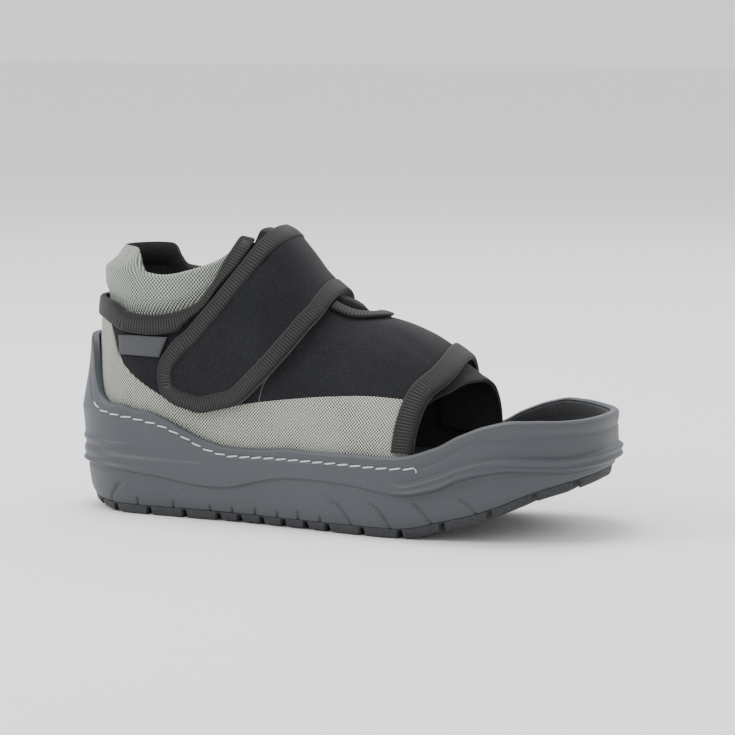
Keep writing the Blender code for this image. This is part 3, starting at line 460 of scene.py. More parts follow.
def shellMesh(name, points, quads, uvs, outer, inner, finish, innerFinish=None, sharp=50.0):
    # closed shell between two offsets of a sheet
    normals = sheetNormals(points, quads)
    outer = np.broadcast_to(np.asarray(outer, float), len(points))[:, None]
    inner = np.broadcast_to(np.asarray(inner, float), len(points))[:, None]
    verts = np.concatenate([points + normals * outer, points + normals * inner])
    count = len(points)
    faces, corners, looks = [], [], []
    edges = {}
    for quad, uv in zip(quads.tolist(), uvs.tolist()):
        keep = [k for k in range(4) if quad[k] != quad[k - 1]]
        if len(keep) < 3:
            continue
        face, places = [quad[k] for k in keep], [uv[k] for k in keep]
        faces += [face, [corner + count for corner in reversed(face)]]
        corners += places + places[::-1]
        looks += [0, 1 if innerFinish else 0]
        for k, corner in enumerate(face):
            edges[(face[k - 1], corner)] = (places[k - 1], places[k])
    for (a, b), (uvA, uvB) in edges.items():
        if (b, a) not in edges:
            faces.append([b, a, a + count, b + count])
            corners += [uvB, uvA, uvA, uvB]
            looks.append(0)
    looksList = [finish, innerFinish] if innerFinish else [finish]
    return makeMesh(name, verts, faces, looksList, corners, sharp=sharp, faceFinish=looks)


def foldShift(points, folds):
    # soft troughs (negative) and ridges (positive), as listed: (from, to, height, width)
    lift = np.zeros(points.shape[:-1])
    for (a0, r0), (a1, r1), height, width in folds:
        bend = skin(np.linspace(a0, a1, 9), np.linspace(r0, r1, 9))
        best = np.full(points.shape[:-1], 1.0)
        run = np.zeros(points.shape[:-1])
        for k in range(8):
            start, way = bend[k], bend[k + 1] - bend[k]
            share = np.clip(((points - start) @ way) / (way @ way), 0, 1)
            far = np.linalg.norm(points - start - share[..., None] * way, axis=-1)
            run = np.where(far < best, (k + share) / 8, run)
            best = np.minimum(best, far)
        lift += height * bell(best, width) * (0.35 + 0.65 * np.sin(np.pi * run) ** 0.7)
    return lift


# materials
class Finish:
    # one material; each method adds a node and gives its output
    def __init__(self, name, roughness, **sockets):
        self.look = bpy.data.materials.new(name)
        self.look.use_nodes = True
        self.tree = self.look.node_tree
        self.shader = self.tree.nodes["Principled BSDF"]
        for socket, value in {"Roughness": roughness, **sockets}.items():
            self.shader.inputs[socket.replace("_", " ")].default_value = value

    def node(self, kind, inputs=None, output=0, **settings):
        node = self.tree.nodes.new(kind)
        for key, value in settings.items():
            setattr(node, key, value)
        for key, value in (inputs or {}).items():
            if hasattr(value, "is_output"):
                self.tree.links.new(value, node.inputs[key])
            else:
                node.inputs[key].default_value = value
        return node.outputs[output]

    def maths(self, operation, first, second=0.0, clamp=False):
        return self.node("ShaderNodeMath", {0: first, 1: second}, operation=operation, use_clamp=clamp)

    def times(self, first, second, clamp=False):
        return self.maths("MULTIPLY", first, second, clamp)

    def mix(self, share, first, second):
        first, second = (value if hasattr(value, "is_output") else (*value, 1) for value in (first, second))
        return self.node("ShaderNodeMix", {0: share, 6: first, 7: second}, 2, data_type="RGBA")

    def spread(self, value, low, high, toLow=0.0, toHigh=1.0):
        return self.node("ShaderNodeMapRange", {"Value": value, "From Min": low, "From Max": high, "To Min": toLow,
                                                "To Max": toHigh})

    def spot(self):
        return self.node("ShaderNodeTexCoord", output="Object")

    def cloth(self):
        return self.node("ShaderNodeUVMap", uv_map="cloth")

    def axis(self, vector, name):
        return self.node("ShaderNodeSeparateXYZ", {"Vector": vector}, name)

    def noise(self, scale, detail=3.0, roughness=0.5, output="Fac"):
        return self.node("ShaderNodeTexNoise", {"Vector": self.spot(), "Scale": scale, "Detail": detail,
                                                "Roughness": roughness}, output)

    def bump(self, height, strength, distance, under=None):
        below = {} if under is None else {"Normal": under}
        return self.node("ShaderNodeBump", {"Height": height, "Strength": strength, "Distance": distance, **below})

    def done(self, colour, normal):
        self.tree.links.new(colour, self.shader.inputs["Base Color"])
        self.tree.links.new(normal, self.shader.inputs["Normal"])
        return self.look


def foamFinish(name, colour, mottleAndPaintedShade, roughness):
    # moulded foam of the sole side: satin, faintly mottled, pale specks, and painted shade that darkens its lowest 55
    # mm towards the floor
    foam = Finish(name, roughness, Coat_Weight=0.05, Coat_Roughness=0.45, Specular_IOR_Level=0.42)
    cloud, speck = foam.noise(22.0, 4.0, 0.55), foam.noise(900.0, 2.0, 0.6)
    # painted shade: the second colour is laid on more the lower the foam stands, as if shaded near the floor
    low = foam.spread(foam.axis(foam.spot(), "Z"), 0.0, 0.055, 1.0, 0.0)
    base = foam.mix(foam.times(foam.maths("ADD", foam.times(cloud, 0.5), low), 0.55, True), colour, mottleAndPaintedShade)
    tone = foam.mix(foam.spread(speck, 0.6, 0.78, 0.0, 0.12), base, (0.28, 0.29, 0.3))
    gloss = foam.spread(cloud, 0.3, 0.7, roughness - 0.05, roughness + 0.07)
    foam.tree.links.new(gloss, foam.shader.inputs["Roughness"])
    return foam.done(tone, foam.bump(cloud, 0.05, 0.0015, foam.bump(speck, 0.1, 0.0002)))


def weaveFinish(name, pale, dark, tint, pitch):
    # basket weave: pale raised cells set in a staggered grid, the gaps between them painted near black as shade
    weave = Finish(name, 0.78, Sheen_Weight=0.15, Sheen_Roughness=0.5, Specular_IOR_Level=0.3)
    push = weave.node("ShaderNodeVectorMath", {0: weave.noise(60.0, 2.0, output="Color"), 1: (0.00035, 0.00035, 0.0)},
                      operation="MULTIPLY")
    moved = weave.node("ShaderNodeVectorMath", {0: weave.cloth(), 1: push}, operation="ADD")
    turn = math.pi / pitch
    rise = weave.axis(moved, "Y")
    cell = weave.times(weave.maths("COSINE", weave.times(weave.axis(moved, "X"), turn)),
                       weave.maths("COSINE", weave.times(rise, turn * 0.92)))
    thread = weave.maths("SINE", weave.times(rise, turn * 5.0))
    grain = weave.spread(weave.noise(1600.0, 2.0, 0.6), 0.25, 0.75, 0.8, 1.12)
    # painted shade: the colour follows the cell height, so the low gaps between cells go near black
    body = weave.mix(weave.times(weave.spread(cell, -0.22, 0.42), grain, True), dark, pale)
    worn = weave.mix(weave.spread(weave.noise(35.0), 0.35, 0.75, 0.0, 0.35), body, tint)
    return weave.done(worn, weave.bump(weave.maths("ADD", cell, weave.times(thread, 0.12)), 0.75, 0.0004))


def napFinish(name, colour, lighter, lint=0.5):
    # brushed cloth over thin foam: fine nap, faint clouds, scattered lint
    cloth = Finish(name, 0.92, Sheen_Weight=0.1, Sheen_Roughness=0.45, Specular_IOR_Level=0.18)
    nap, cloud = cloth.noise(1500.0, 3.0, 0.65), cloth.noise(40.0, 4.0, 0.6)
    share = cloth.times(cloth.spread(nap, 0.35, 0.72), cloth.spread(cloud, 0.3, 0.7, 0.5, 1.0))
    dots = cloth.node("ShaderNodeTexVoronoi", {"Vector": cloth.spot(), "Scale": 260.0}, "Distance")
    fluff = cloth.times(cloth.spread(dots, 0.1, 0.03), cloth.spread(cloth.noise(170.0, 2.0), 0.6, 0.68))
    tone = cloth.mix(cloth.times(fluff, lint, True), cloth.mix(share, colour, lighter), (0.16, 0.16, 0.155))
    return cloth.done(tone, cloth.bump(cloud, 0.12, 0.0012, cloth.bump(nap, 0.35, 0.0003)))


def tapeFinish(name, colour, lighter):
    # ribbed grosgrain: the ribs themselves are in the mesh, this adds threads and a painted highlight on the rib crests
    # and the tape's raised middle
    tape = Finish(name, 0.85, Sheen_Weight=0.12, Sheen_Roughness=0.5, Specular_IOR_Level=0.2)
    run, crest = (tape.axis(tape.cloth(), axis) for axis in "XY")
    rib = tape.maths("COSINE", tape.times(run, 2 * math.pi / tapes["pitch"]))
    # painted highlight: lighter on each rib's crest and along the tape's raised middle, darker where it turns under
    crown = tape.times(tape.spread(rib, -0.5, 0.9), tape.spread(crest, 0.0, 1.0))
    fuzz = tape.noise(1300.0, 3.0, 0.65)
    thread = tape.maths("SINE", tape.times(run, 2 * math.pi / tapes["thread"]))
    tone = tape.mix(tape.times(crown, tape.spread(fuzz, 0.3, 0.7, 0.55, 1.15), True), colour, lighter)
    return tape.done(tone, tape.bump(thread, 0.12, 0.0001, tape.bump(fuzz, 0.45, 0.0003)))


def plainCloth(name, colour, lighter, scale):
    cloth = Finish(name, 0.88, Sheen_Weight=0.06, Specular_IOR_Level=0.2)
    grain = cloth.noise(scale, 3.0, 0.6)
    share = cloth.times(cloth.spread(grain, 0.3, 0.7), cloth.spread(cloth.noise(30.0), 0.3, 0.7, 0.6, 1.0))
    return cloth.done(cloth.mix(share, colour, lighter), cloth.bump(grain, 0.35, 0.0003))


tapes = {
    "pitch": 0.0015, "rib": 0.00013, "step": 0.0003, "steps": 10, "crown": 0.00012, "thread": 0.00041,
    "base": 0.0007, "thick": 0.001, "under": 0.00125,
    "toplineWidth": 0.0085, "toplineEnd": 0.354, "throatWidth": 0.006, "throatStart": 0.496, "throatEnd": 0.567,
    "toeWidth": 0.01, "throatRound": 0.009, "toeRound": 0.014,
}
# sole foam: the second colour is a darker mottle and the painted shade of the lower side
solePaint = foamFinish("soleFoam", (0.055, 0.062, 0.071), (0.039, 0.044, 0.052), 0.5)
treadPaint = plainCloth("treadRubber", (0.03, 0.031, 0.034), (0.055, 0.056, 0.06), 700.0)
# weaves: the second colour is the painted shade in the gaps between the raised cells
weavePaint = weaveFinish("greyWeave", (0.7, 0.72, 0.63), (0.022, 0.025, 0.02), (0.36, 0.38, 0.33), 0.00084)
cuffPaint = weaveFinish("cuffWeave", (0.53, 0.58, 0.5), (0.02, 0.024, 0.02), (0.25, 0.29, 0.26), 0.00098)
napPaint = napFinish("blackNap", (0.0058, 0.0062, 0.0078), (0.024, 0.0245, 0.028))
liningPaint = plainCloth("darkLining", (0.022, 0.022, 0.021), (0.05, 0.05, 0.047), 1100.0)
footbedPaint = plainCloth("footbedCloth", (0.024, 0.024, 0.026), (0.055, 0.055, 0.058), 1400.0)
# tape: the second colour is the painted highlight on rib crests and the raised middle
tapePaint = tapeFinish("ribbedTape", (0.012, 0.012, 0.0122), (0.043, 0.044, 0.042))
threadPaint = plainCloth("paleThread", (0.42, 0.45, 0.47), (0.6, 0.62, 0.64), 2500.0)
labelPaint = plainCloth("labelCloth", (0.054, 0.056, 0.061), (0.077, 0.08, 0.085), 1800.0)
seamPaint = plainCloth("seamThread", (0.06, 0.061, 0.063), (0.12, 0.12, 0.12), 2200.0)

# sole side: one cup with its wall, ribs, toe band, grooves and short cuts
cup = {
    "half": 455, "heelUndercut": 0.0052, "sideUndercut": 0.002, "ribPitch": 0.0062, "ribDepth": 0.0011,
    "bandHeight": 0.0082, "beadDrop": 0.0062, "seamDepth": 0.00055, "seamWidth": 0.00075,
    "cutDepth": 0.0011, "cutWidth": 0.00055, "ledge": 0.00065, "ledgeHeight": 0.03,
    "rows": [6, 12, 8, 5, 4, 4, 4, 4, 4, 8, 6, 14, 8, 4, 4, 3, 4, 3, 2],
}
bandRows = [(0.0, 0.0), (0.64, 0.0), (0.66, 0.3), (0.7, 0.8), (0.74, 0.95), (0.82, 0.9), (1.0, 1.0)]
# groove of the stitching, running on as the bead groove round the toe: station, height in mm
seamRows = [
    (0.0, 86.0), (0.012, 83.5), (0.024, 76.0), (0.034, 69.0), (0.044, 62.6), (0.062, 55.8), (0.081, 53.4),
    (0.149, 50.7), (0.198, 48.2), (0.247, 43.0), (0.298, 37.0), (0.345, 34.9), (0.426, 35.6), (0.547, 35.9),
    (0.644, 35.6), (0.703, 36.5), (0.723, 37.8), (0.754, 41.9), (0.792, 48.4), (0.83, 52.1), (0.882, 53.2),
    (0.947, 54.1), (0.986, 53.7), (1.0, 53.6),
]
# short cuts of the lower side: station and height in mm from the bottom up
sideCuts = [
    [(0.087, 4.0), (0.09, 7.8), (0.102, 12.5), (0.115, 16.0), (0.129, 16.9)],
    [(0.1475, 3.0), (0.149, 6.0), (0.151, 9.4)], [(0.2205, 3.0), (0.222, 6.0), (0.2235, 9.0)],
    [(0.295, 2.5), (0.296, 5.5), (0.2975, 8.6)], [(0.339, 3.0), (0.3405, 6.0), (0.342, 8.8)],
    [(0.3855, 3.5), (0.3865, 6.0), (0.388, 9.2)], [(0.4305, 3.5), (0.4315, 6.0), (0.433, 9.0)],
    [(0.472, 3.5), (0.473, 6.5), (0.4745, 9.8)], [(0.5165, 3.0), (0.5175, 6.0), (0.5185, 8.6)],
    [(0.58, 4.0), (0.572, 9.8), (0.559, 14.2), (0.539, 17.3)],
    [(0.655, 4.5), (0.646, 10.0), (0.633, 14.8), (0.614, 17.7)],
    [(0.732, 8.0), (0.722, 12.5), (0.711, 16.2), (0.697, 19.6)],
    [(0.812, 13.5), (0.803, 17.5), (0.792, 20.5), (0.778, 23.1)],
]


def cupRows(along):
    # control rows of the cup from its underside over the rim to its floor: heights and outward shifts
    heel = heelShare(along)
    wave, base = waveZ(along), baseZ(along)
    bead = rimZ(along) - cup["beadDrop"]
    counter = last["counterRise"] * read(counterRows, along)
    rim = rimZ(along) + counter
    band = cup["bandHeight"] * read(bandRows, along)
    front = ease((along - 0.645) / 0.06)
    ribs = ease((0.24 - along) / 0.16)
    under = cup["sideUndercut"] + (cup["heelUndercut"] - cup["sideUndercut"]) * heel
    pitch = cup["ribPitch"] / 2 * ribs + (bead - wave) / 7 * (1 - ribs)
    rows = [
        (base, -under - 0.0012),
        (base + 0.25 * (wave - base), -under * 0.72 - 0.0006),
        (wave - 0.22 * (wave - base), -under * 0.42 - 0.0006),
        (wave - 0.05 * (wave - base), -0.0014 - 0.0018 * heel),
        (wave + 0.03 * (wave - base) * (1 - front), -0.0001 + 0 * along),
    ]
    table = [(-1.0, 0.92, 0.22), (0.0, 0.66, 0.5), (-1.0, 1.0, 0.8), (0.0, 0.06, 1.02), (-0.7, 0.0, 1.2)]
    for step, (rib, proud, place) in enumerate(table, 1):
        height = (wave + step * pitch) * (1 - front)
        height = height + (wave + place * band + (1.0 - read(bandRows, along)) * step * 0.0002) * front
        rows.append((height, rib * cup["ribDepth"] * ribs * (1 - front) + proud * last["bandProud"] * front))
    notch = ease((along - 0.7) / 0.04)
    lean = last["counterLean"] * heel
    wall = last["cupWall"]
    shoulder = bead + 0.75 * cup["beadDrop"] + 0.5 * counter
    rows += [
        (bead, -0.0003 * notch),
        (bead + 0.35 * cup["beadDrop"], 0 * along),
        (shoulder + 0.05 * counter, -lean * tuck(shoulder + 0.05 * counter)),
        (rim - 0.0008, -lean * tuck(rim) - 0.0004),
        (rim, -lean * tuck(rim) - 0.32 * wall),
        (rim, -lean * tuck(rim) - 0.7 * wall),
        (rim - 0.001, -lean * tuck(rim) - wall),
        (shoulder, -lean * tuck(shoulder) - wall),
        (floorZ(along) * 0.4 + (bead + 0.3 * cup["beadDrop"]) * 0.6, 0 * along - wall),
        (floorZ(along), 0 * along - wall),
    ]
    return np.array([row[0] for row in rows]), np.array([row[1] + 0 * along for row in rows])


def smoothRows(rows):
    # finer rows on smooth curves through the control rows
    tangent = np.gradient(rows, axis=0)
    fine = []
    for index, parts in enumerate(cup["rows"]):
        share = (np.arange(parts) / parts)[:, None]
        fine.append(curve(rows[index], rows[index + 1] - rows[index], tangent[index], tangent[index + 1], share))
    return np.concatenate(fine + [rows[-1:]])


def cupSurface(along, run):
    # heights and shifts of every fine row, with grooves, ledge and cuts; run is the length round the outline
    heights, shifts = (smoothRows(rows) for rows in cupRows(along))
    outside = np.arange(len(heights))[:, None] < sum(cup["rows"][:13])
    slope = np.gradient(read(seamRows, along) / 1000, run)
    far = (heights - read(seamRows, along) / 1000) / np.sqrt(1 + slope ** 2)
    shifts = shifts - outside * cup["seamDepth"] * bell(far, cup["seamWidth"])
    over = heights - cup["ledgeHeight"]
    fade = ease((0.31 - along) / 0.05) * (far < 0)
    shifts = shifts - outside * cup["ledge"] * ease((over + 0.0004) / 0.0014) * np.exp(
        -np.clip(over, 0, 1) / 0.007) * fade
    for line in sideCuts:
        z = np.array([point[1] for point in line]) / 1000
        t = np.array([point[0] for point in line])
        middle = np.interp(heights, z, t)
        leanness = np.interp(heights, z, np.gradient(t, z) * last["length"])
        away = (along - middle) * last["length"] / np.sqrt(1 + leanness ** 2)
        inside = ease((z[-1] + 0.0004 - heights) / 0.0016)
        shifts = shifts - outside * cup["cutDepth"] * bell(away, cup["cutWidth"]) * inside
    return heights, shifts


def cutCrowd(along):
    close = 1.0 + 0.7 * ease((along - 0.52) / 0.02) * ease((0.83 - along) / 0.02)
    for line in sideCuts[:9]:
        close = close + 1.6 * bell(along - np.mean([point[0] for point in line]), 0.0075)
    return close


def buildCup():
    along, side, points, outward = loopOf(soleStations(cup["half"], cutCrowd))
    heights, shifts = cupSurface(along, runOf(points))
    spots = points[None] + outward[None] * shifts[..., None]
    verts = np.concatenate([spots, heights[..., None]], axis=-1).reshape(-1, 3)
    count = len(along)
    faces = ringFaces(len(heights), count).tolist()
    faces += capFaces(0, cup["half"]) + capFaces((len(heights) - 1) * count, cup["half"])
    return addToShoe(makeMesh("soleCup", verts, faces, solePaint, sharp=70), "sole_side", "midsole")


def soleSurface(along, height, side):
    # place and outward way on the sole side at stations and heights
    close = 0.0004
    here = np.stack([xAt(along), outlineY(along, side)], axis=-1)
    ahead = np.stack([xAt(along + close), outlineY(along + close, side)], axis=-1)
    way = unit(ahead - here)
    out = np.stack([way[..., 1], -way[..., 0]], axis=-1) * (1 if side < 0 else -1)
    run = np.linspace(0, 1, len(along)) * np.sum(np.linalg.norm(np.diff(here, axis=0), axis=1))
    heights, shifts = cupSurface(along, run)
    top = sum(cup["rows"][:13])
    shift = np.array([np.interp(height[k], heights[:top, k], shifts[:top, k]) for k in range(len(along))])
    return np.concatenate([here + out * shift[:, None], height[:, None]], axis=1), np.column_stack([out, 0 * along])


stitching = {"pitch": 0.0073, "length": 0.0062, "radius": 0.00052, "from": 0.044, "to": 0.7035, "lean": 0.0004}


def tube(path, radius, sides=8, squash=1.0, upWay=None):
    # closed round tube along a path, its ends drawn in
    path = np.asarray(path, float)
    way = unit(np.gradient(path, axis=0))
    up = np.broadcast_to(np.array([0, 0, 1.0]) if upWay is None else upWay, path.shape)
    first = unit(np.cross(way, up))
    second = np.cross(first, way)
    angle = np.arange(sides) * 2 * np.pi / sides
    radius = np.broadcast_to(radius, len(path))
    ring = (first[:, None] * np.cos(angle)[None, :, None] + second[:, None] * np.sin(angle)[None, :, None] * squash)
    points = path[:, None] + ring * radius[:, None, None]
    rows = len(path)
    faces = ringFaces(rows, sides).tolist()
    faces += [list(range(sides))[::-1], [(rows - 1) * sides + k for k in range(sides)]]
    return points.reshape(-1, 3), faces


def joined(tubes):
    points, faces, start = [], [], 0
    for verts, quads in tubes:
        points.append(verts)
        faces += [[corner + start for corner in quad] for quad in quads]
        start += len(verts)
    return np.concatenate(points), faces


def buildStitching():
    tubes = []
    for side in (-1, 1):
        fine = np.linspace(stitching["from"], stitching["to"], 1500)
        height = read(seamRows, fine) / 1000
        spots, out = soleSurface(fine, height, side)
        run = runOf(spots)
        end = run[-1]
        while end > stitching["length"]:
            marks = np.linspace(end - stitching["length"], end, 9)
            middle, lift = (np.stack([np.interp(marks, run, rows[:, axis]) for axis in range(3)], axis=1)
                            for rows in (spots, out))
            bow = np.sin(np.linspace(0, np.pi, 9))
            middle += lift * (0.0003 * bow + 0.00006)[:, None]
            middle[:, 2] += stitching["lean"] * np.linspace(-1, 1, 9)
            tubes.append(tube(middle, stitching["radius"] * (0.55 + 0.45 * np.minimum(1, bow * 2.2)), squash=0.85))
            end -= stitching["pitch"]
        hook = spots[-1] + np.array([(0, 0, 0), (0.0008, 0, -0.0006), (0.001, 0, -0.002)])
        tubes.append(tube(hook + out[-1] * 0.0002, stitching["radius"] * 0.7))
    verts, faces = joined(tubes)
    return addToShoe(makeMesh("soleStitching", verts, faces, threadPaint, sharp=80), "sole_side")


# tread
tread = {
    "grooves": [0.05, 0.098, 0.171, 0.242, 0.311, 0.353, 0.398, 0.442, 0.487, 0.531, 0.599, 0.672, 0.749,
                0.832, 0.905, 0.965],
    "groove": 0.0024, "inset": 0.0016, "draft": 0.0007, "stations": 720, "across": 25, "sipe": 0.0006,
}


def buildTread():
    stations = np.unique(np.concatenate([np.linspace(0.0006, 0.991, tread["stations"]), [0.0006, 0.003, 0.006]]))
    reach = tread["groove"] / last["length"] / 2
    draft = tread["draft"] / last["length"]
    depth = np.zeros(len(stations))
    for groove in tread["grooves"]:
        depth = np.maximum(depth, ease((reach + draft - np.abs(stations - groove)) / draft))
    heel = heelShare(stations)
    under = cup["sideUndercut"] + (cup["heelUndercut"] - cup["sideUndercut"]) * heel + 0.0012
    top = baseZ(stations) - last["gap"]
    bottom = treadZ(stations)
    cut = bottom + (top - last["web"] - bottom) * depth
    edges = {}
    for side in (-1, 1):
        edges[side] = [insetPoints(stations, side, under + inset) for inset in (
            0, 0.3 * tread["inset"], 0.85 * tread["inset"], tread["inset"] + 0.0003)]
    levels = [top, top * 0.35 + cut * 0.65, cut + 0.0003, cut]
    columns = [np.column_stack([edges[-1][k], levels[k]]) for k in range(4)]
    left, right = edges[-1][3], edges[1][3]
    blocks = np.array([0.0] + tread["grooves"] + [1.0])
    centres = (blocks[1:] + blocks[:-1]) / 2
    nearest = centres[np.argmin(np.abs(stations[:, None] - centres[None]), axis=1)]
    for share in np.linspace(0, 1, tread["across"] + 2)[1:-1]:
        spot = left + (right - left) * share
        zigzag = 0.0016 * (2 * abs((share * 7) % 1 - 0.5) - 0.5)
        sipe = bell((stations - nearest) * last["length"] - zigzag, 0.00045) * ease(share / 0.12) * ease(
            (1 - share) / 0.12)
        channel = bell((share - 0.5) * 90, 2.2) * (1 - depth)
        columns.append(np.column_stack([spot, cut + tread["sipe"] * sipe * (1 - depth) + 0.0009 * channel]))
    columns += [np.column_stack([edges[1][k], levels[k]]) for k in (3, 2, 1, 0)]
    grid = np.array(columns)
    rows, count = grid.shape[:2]
    piece = makeMesh("treadRubber", grid.reshape(-1, 3), barFaces(rows, count), treadPaint, sharp=40)
    return addToShoe(piece, "tread_rubber", "outsole")


# footbed, with the dark lining that lines the open toe
footbed = {
    "half": 170, "thickness": 0.005, "lip": 0.0015, "openFrom": 0.715, "openRun": 0.03, "play": 0.0006,
    "rimDrop": 0.0016, "dish": 0.001, "swell": 0.0008, "rings": 22,
}
# share from bed to lip, mm higher at the back and at the front, lips inward, mm further inward
footbedRows = [
    (0.3, -0.6, 0, 0, 0), (0.65, -0.6, 0, 0, 0), (1, -0.6, -0.6, 0, 0), (1, -0.1, -0.1, 0.2, 0), (1, 0, 0, 0.5, 0),
    (1, 0, -0.1, 0.8, 0), (1, 0, -0.5, 1, 0), (0.6, 0, 0, 1, 0), (0.25, 0, 0.2, 1, 0.3), (0, 0, 0.8, 1, 1),
    (0, 0, 0.1, 1, 2.6),
]


def buildFootbed():
    along, side, points, outward = loopOf(soleStations(footbed["half"]))
    front = ease((along - footbed["openFrom"]) / footbed["openRun"])
    inset = (skinInset + last["wall"] + last["layer"] + footbed["play"]) * (1 - front) + skinInset * front
    low = floorZ(along) + last["gap"]
    bed = low + footbed["thickness"]
    lip = bed + (rimZ(along) - footbed["rimDrop"] - bed) * front
    verts = [np.column_stack([points - outward * inset[:, None], low])]
    for share, backRise, frontRise, walls, further in footbedRows:
        height = bed * (1 - share) + lip * share + (backRise * (1 - front) + frontRise * front) / 1000
        shift = -inset - walls * footbed["lip"] - further / 1000
        verts.append(np.column_stack([points + outward * shift[:, None], height]))
    rim = verts[-1]
    middle = np.array([xAt(0.5), 0.0])
    for share in np.linspace(1, 0.03, footbed["rings"])[1:]:
        spot = middle + (rim[:, :2] - middle) * share
        station = spot[:, 0] / last["length"] + 0.5
        dish = footbed["dish"] * bell((station - 0.14) / 0.13, 1) * ease((1 - share) / 0.5)
        swell = footbed["swell"] * bell((station - 0.45) / 0.12, 1) * ease((1 - share) / 0.6)
        height = floorZ(station) + last["gap"] + footbed["thickness"] - dish + swell
        verts.append(np.column_stack([spot, height]))
    verts = np.array(verts)
    count = len(along)
    faces = ringFaces(len(verts), count).tolist()
    faces += capFaces(0, footbed["half"]) + [[(len(verts) - 1) * count + k for k in range(count)]]
    return addToShoe(makeMesh("footbed", verts.reshape(-1, 3), faces, footbedPaint, sharp=60), "footbed", "insole")


# upper: nap panel and lining as one wall, woven quarters laid over its lower part
upper = {
    "stations": 190, "levels": 56, "weaveLevels": 44, "front": 0.68, "slantFrom": 0.576,
    "denseFrom": 0.535, "denseTo": 0.575, "weaveRise": 0.0003, "edgeRoll": 0.0011,
    "seamIn": 0.0016, "seamDepth": 0.00018, "seamWidth": 0.00045,
}
panelFolds = [
    ((0.4, 0.3), (0.47, 0.6), -0.0007, 0.005),
    ((0.43, 0.34), (0.5, 0.62), 0.0005, 0.005),
    ((0.5, 0.45), (0.62, 0.42), -0.0006, 0.006),
    ((0.53, 0.62), (0.66, 0.55), 0.0006, 0.007),
    ((0.6, 0.8), (0.69, 0.72), -0.0005, 0.005),
    ((0.47, 1.45), (0.6, 1.52), -0.0008, 0.006),
    ((0.12, 0.12), (0.17, 0.09), -0.0005, 0.004),
]


def slant(along, around):
    share = ease((along - upper["slantFrom"]) / (upper["front"] - upper["slantFrom"]))
    return along + (read(frontRows, around) - upper["front"]) * share


def clothUv(grid, side, upright=False):
    # length along and up the cloth, in metres, so that the weave keeps its size
    across = np.linalg.norm(np.diff(grid, axis=0), axis=-1)[:, grid.shape[1] // 4:].mean(axis=1)
    u = np.concatenate([[0], np.cumsum(across)])[:, None] + np.zeros(grid.shape[1])[None]
    if upright:
        return np.stack([u * side, grid[..., 2]], axis=-1)
    v = np.concatenate([np.zeros((grid.shape[0], 1)),
                        np.cumsum(np.linalg.norm(np.diff(grid, axis=1), axis=-1), axis=1)], axis=1)
    return np.stack([u * side, v], axis=-1)


def upperStations(count):
    fine = np.linspace(0, upper["front"], count)
    extra = np.linspace(upper["denseFrom"], upper["denseTo"], 41)
    return np.unique(np.round(np.concatenate([fine, extra]), 5))


def risingSheet(along, side, edge, share):
    # grid of the upper from its foot to an edge
    foot = 0.0 if side < 0 else 2.0
    around = foot + (edge - foot) * share
    return skin(slant(along, around), around)


def buildUpper():
    along = upperStations(upper["stations"])[:, None]

    def wallSheet(side):
        return risingSheet(along, side, topAround(along, side), np.linspace(0, 1, upper["levels"])[None] ** 0.9), 0.0

    def weaveSheet(side):
        station = footOf(along, np.full_like(along, side))[0]
        edge = aroundAtHeight(along, side, last["panel"] * read(panelRows, station) + upper["weaveRise"])
        grid = risingSheet(along, side, edge, 1 - (1 - np.linspace(0, 1, upper["weaveLevels"]))[None] ** 1.25)
        return grid, np.linalg.norm(grid - grid[:, -1:], axis=-1)

    points, quads, uvs, _ = twoSides(wallSheet)
    lift = foldShift(points, panelFolds)
    piece = shellMesh("upperWall", points, quads, uvs, lift - last["step"], -last["wall"] + 0 * lift, napPaint,
                      liningPaint)
    addToShoe(piece, "upper_textile", "upper")
    points, quads, uvs, edge = twoSides(weaveSheet)
    lift = foldShift(points, panelFolds)
    rolled = last["step"] * quarterRound(np.clip(edge / upper["edgeRoll"], 0, 1))
    seam = upper["seamDepth"] * bell(edge - upper["seamIn"], upper["seamWidth"])
    piece = shellMesh("wovenQuarters", points, quads, uvs, lift - rolled - seam + 0.00005,
                      -last["step"] - 0.0003 + lift, weavePaint)
    return addToShoe(piece, "upper_textile")


# padded cuff of the ankle
cuff = {
    "wall": 0.0042, "height": 0.128, "depth": 0.016, "swell": 0.0026, "lean": 0.0078, "roll": 0.0105,
    "stations": 120, "rows": 26, "puff": 0.0018, "end": 0.342,
}
cuffRows = [
    (0.0, 1.085), (0.06, 1.085), (0.095, 1.08), (0.115, 1.062), (0.135, 1.022), (0.16, 0.988),
    (0.19, 0.98), (0.215, 0.986), (0.25, 1.006), (0.294, 1.042), (0.34, 1.11), (0.365, 1.123),
    (1.0, 1.13),
]


def cuffLine(along, side, share):
    # one upright line of the cuff's outer face
    station = float(footOf(np.array(along), np.array(side))[0])
    top = cuff["height"] * float(read(cuffRows, station))
    edge = skin(along, float(topAround(along, side)))
    low = edge[2] - cuff["depth"]
    height = low + (top - low) * share
    here = np.full(len(share), along)
    inside = skin(here, aroundAtHeight(here, np.full(len(share), float(side)), np.minimum(height, edge[2])))
    below = skin(along, float(aroundAtHeight(np.array(along), np.array(side), edge[2] - 0.004)))
    lean = (edge[:2] - below[:2]) / 0.004
    over = np.clip(height - edge[2], 0, 1)
    inward = unit(np.array([xAt(last["ankle"]), 0.0]) - edge[:2])
    kink = ease((height - (top - cuff["roll"])) / cuff["roll"] + 0.15) ** 1.3
    tilt = cuff["lean"] * kink * float(ease((0.16 - station) / 0.09))
    swell = cuff["swell"] * ease(over / 0.009) * float(ease((0.31 - station) / 0.1))
    above = np.column_stack([edge[:2] + lean * over[:, None] * 0.7 + inward * (tilt - swell)[:, None], height])
    return np.where((height > edge[2])[:, None], above, inside)


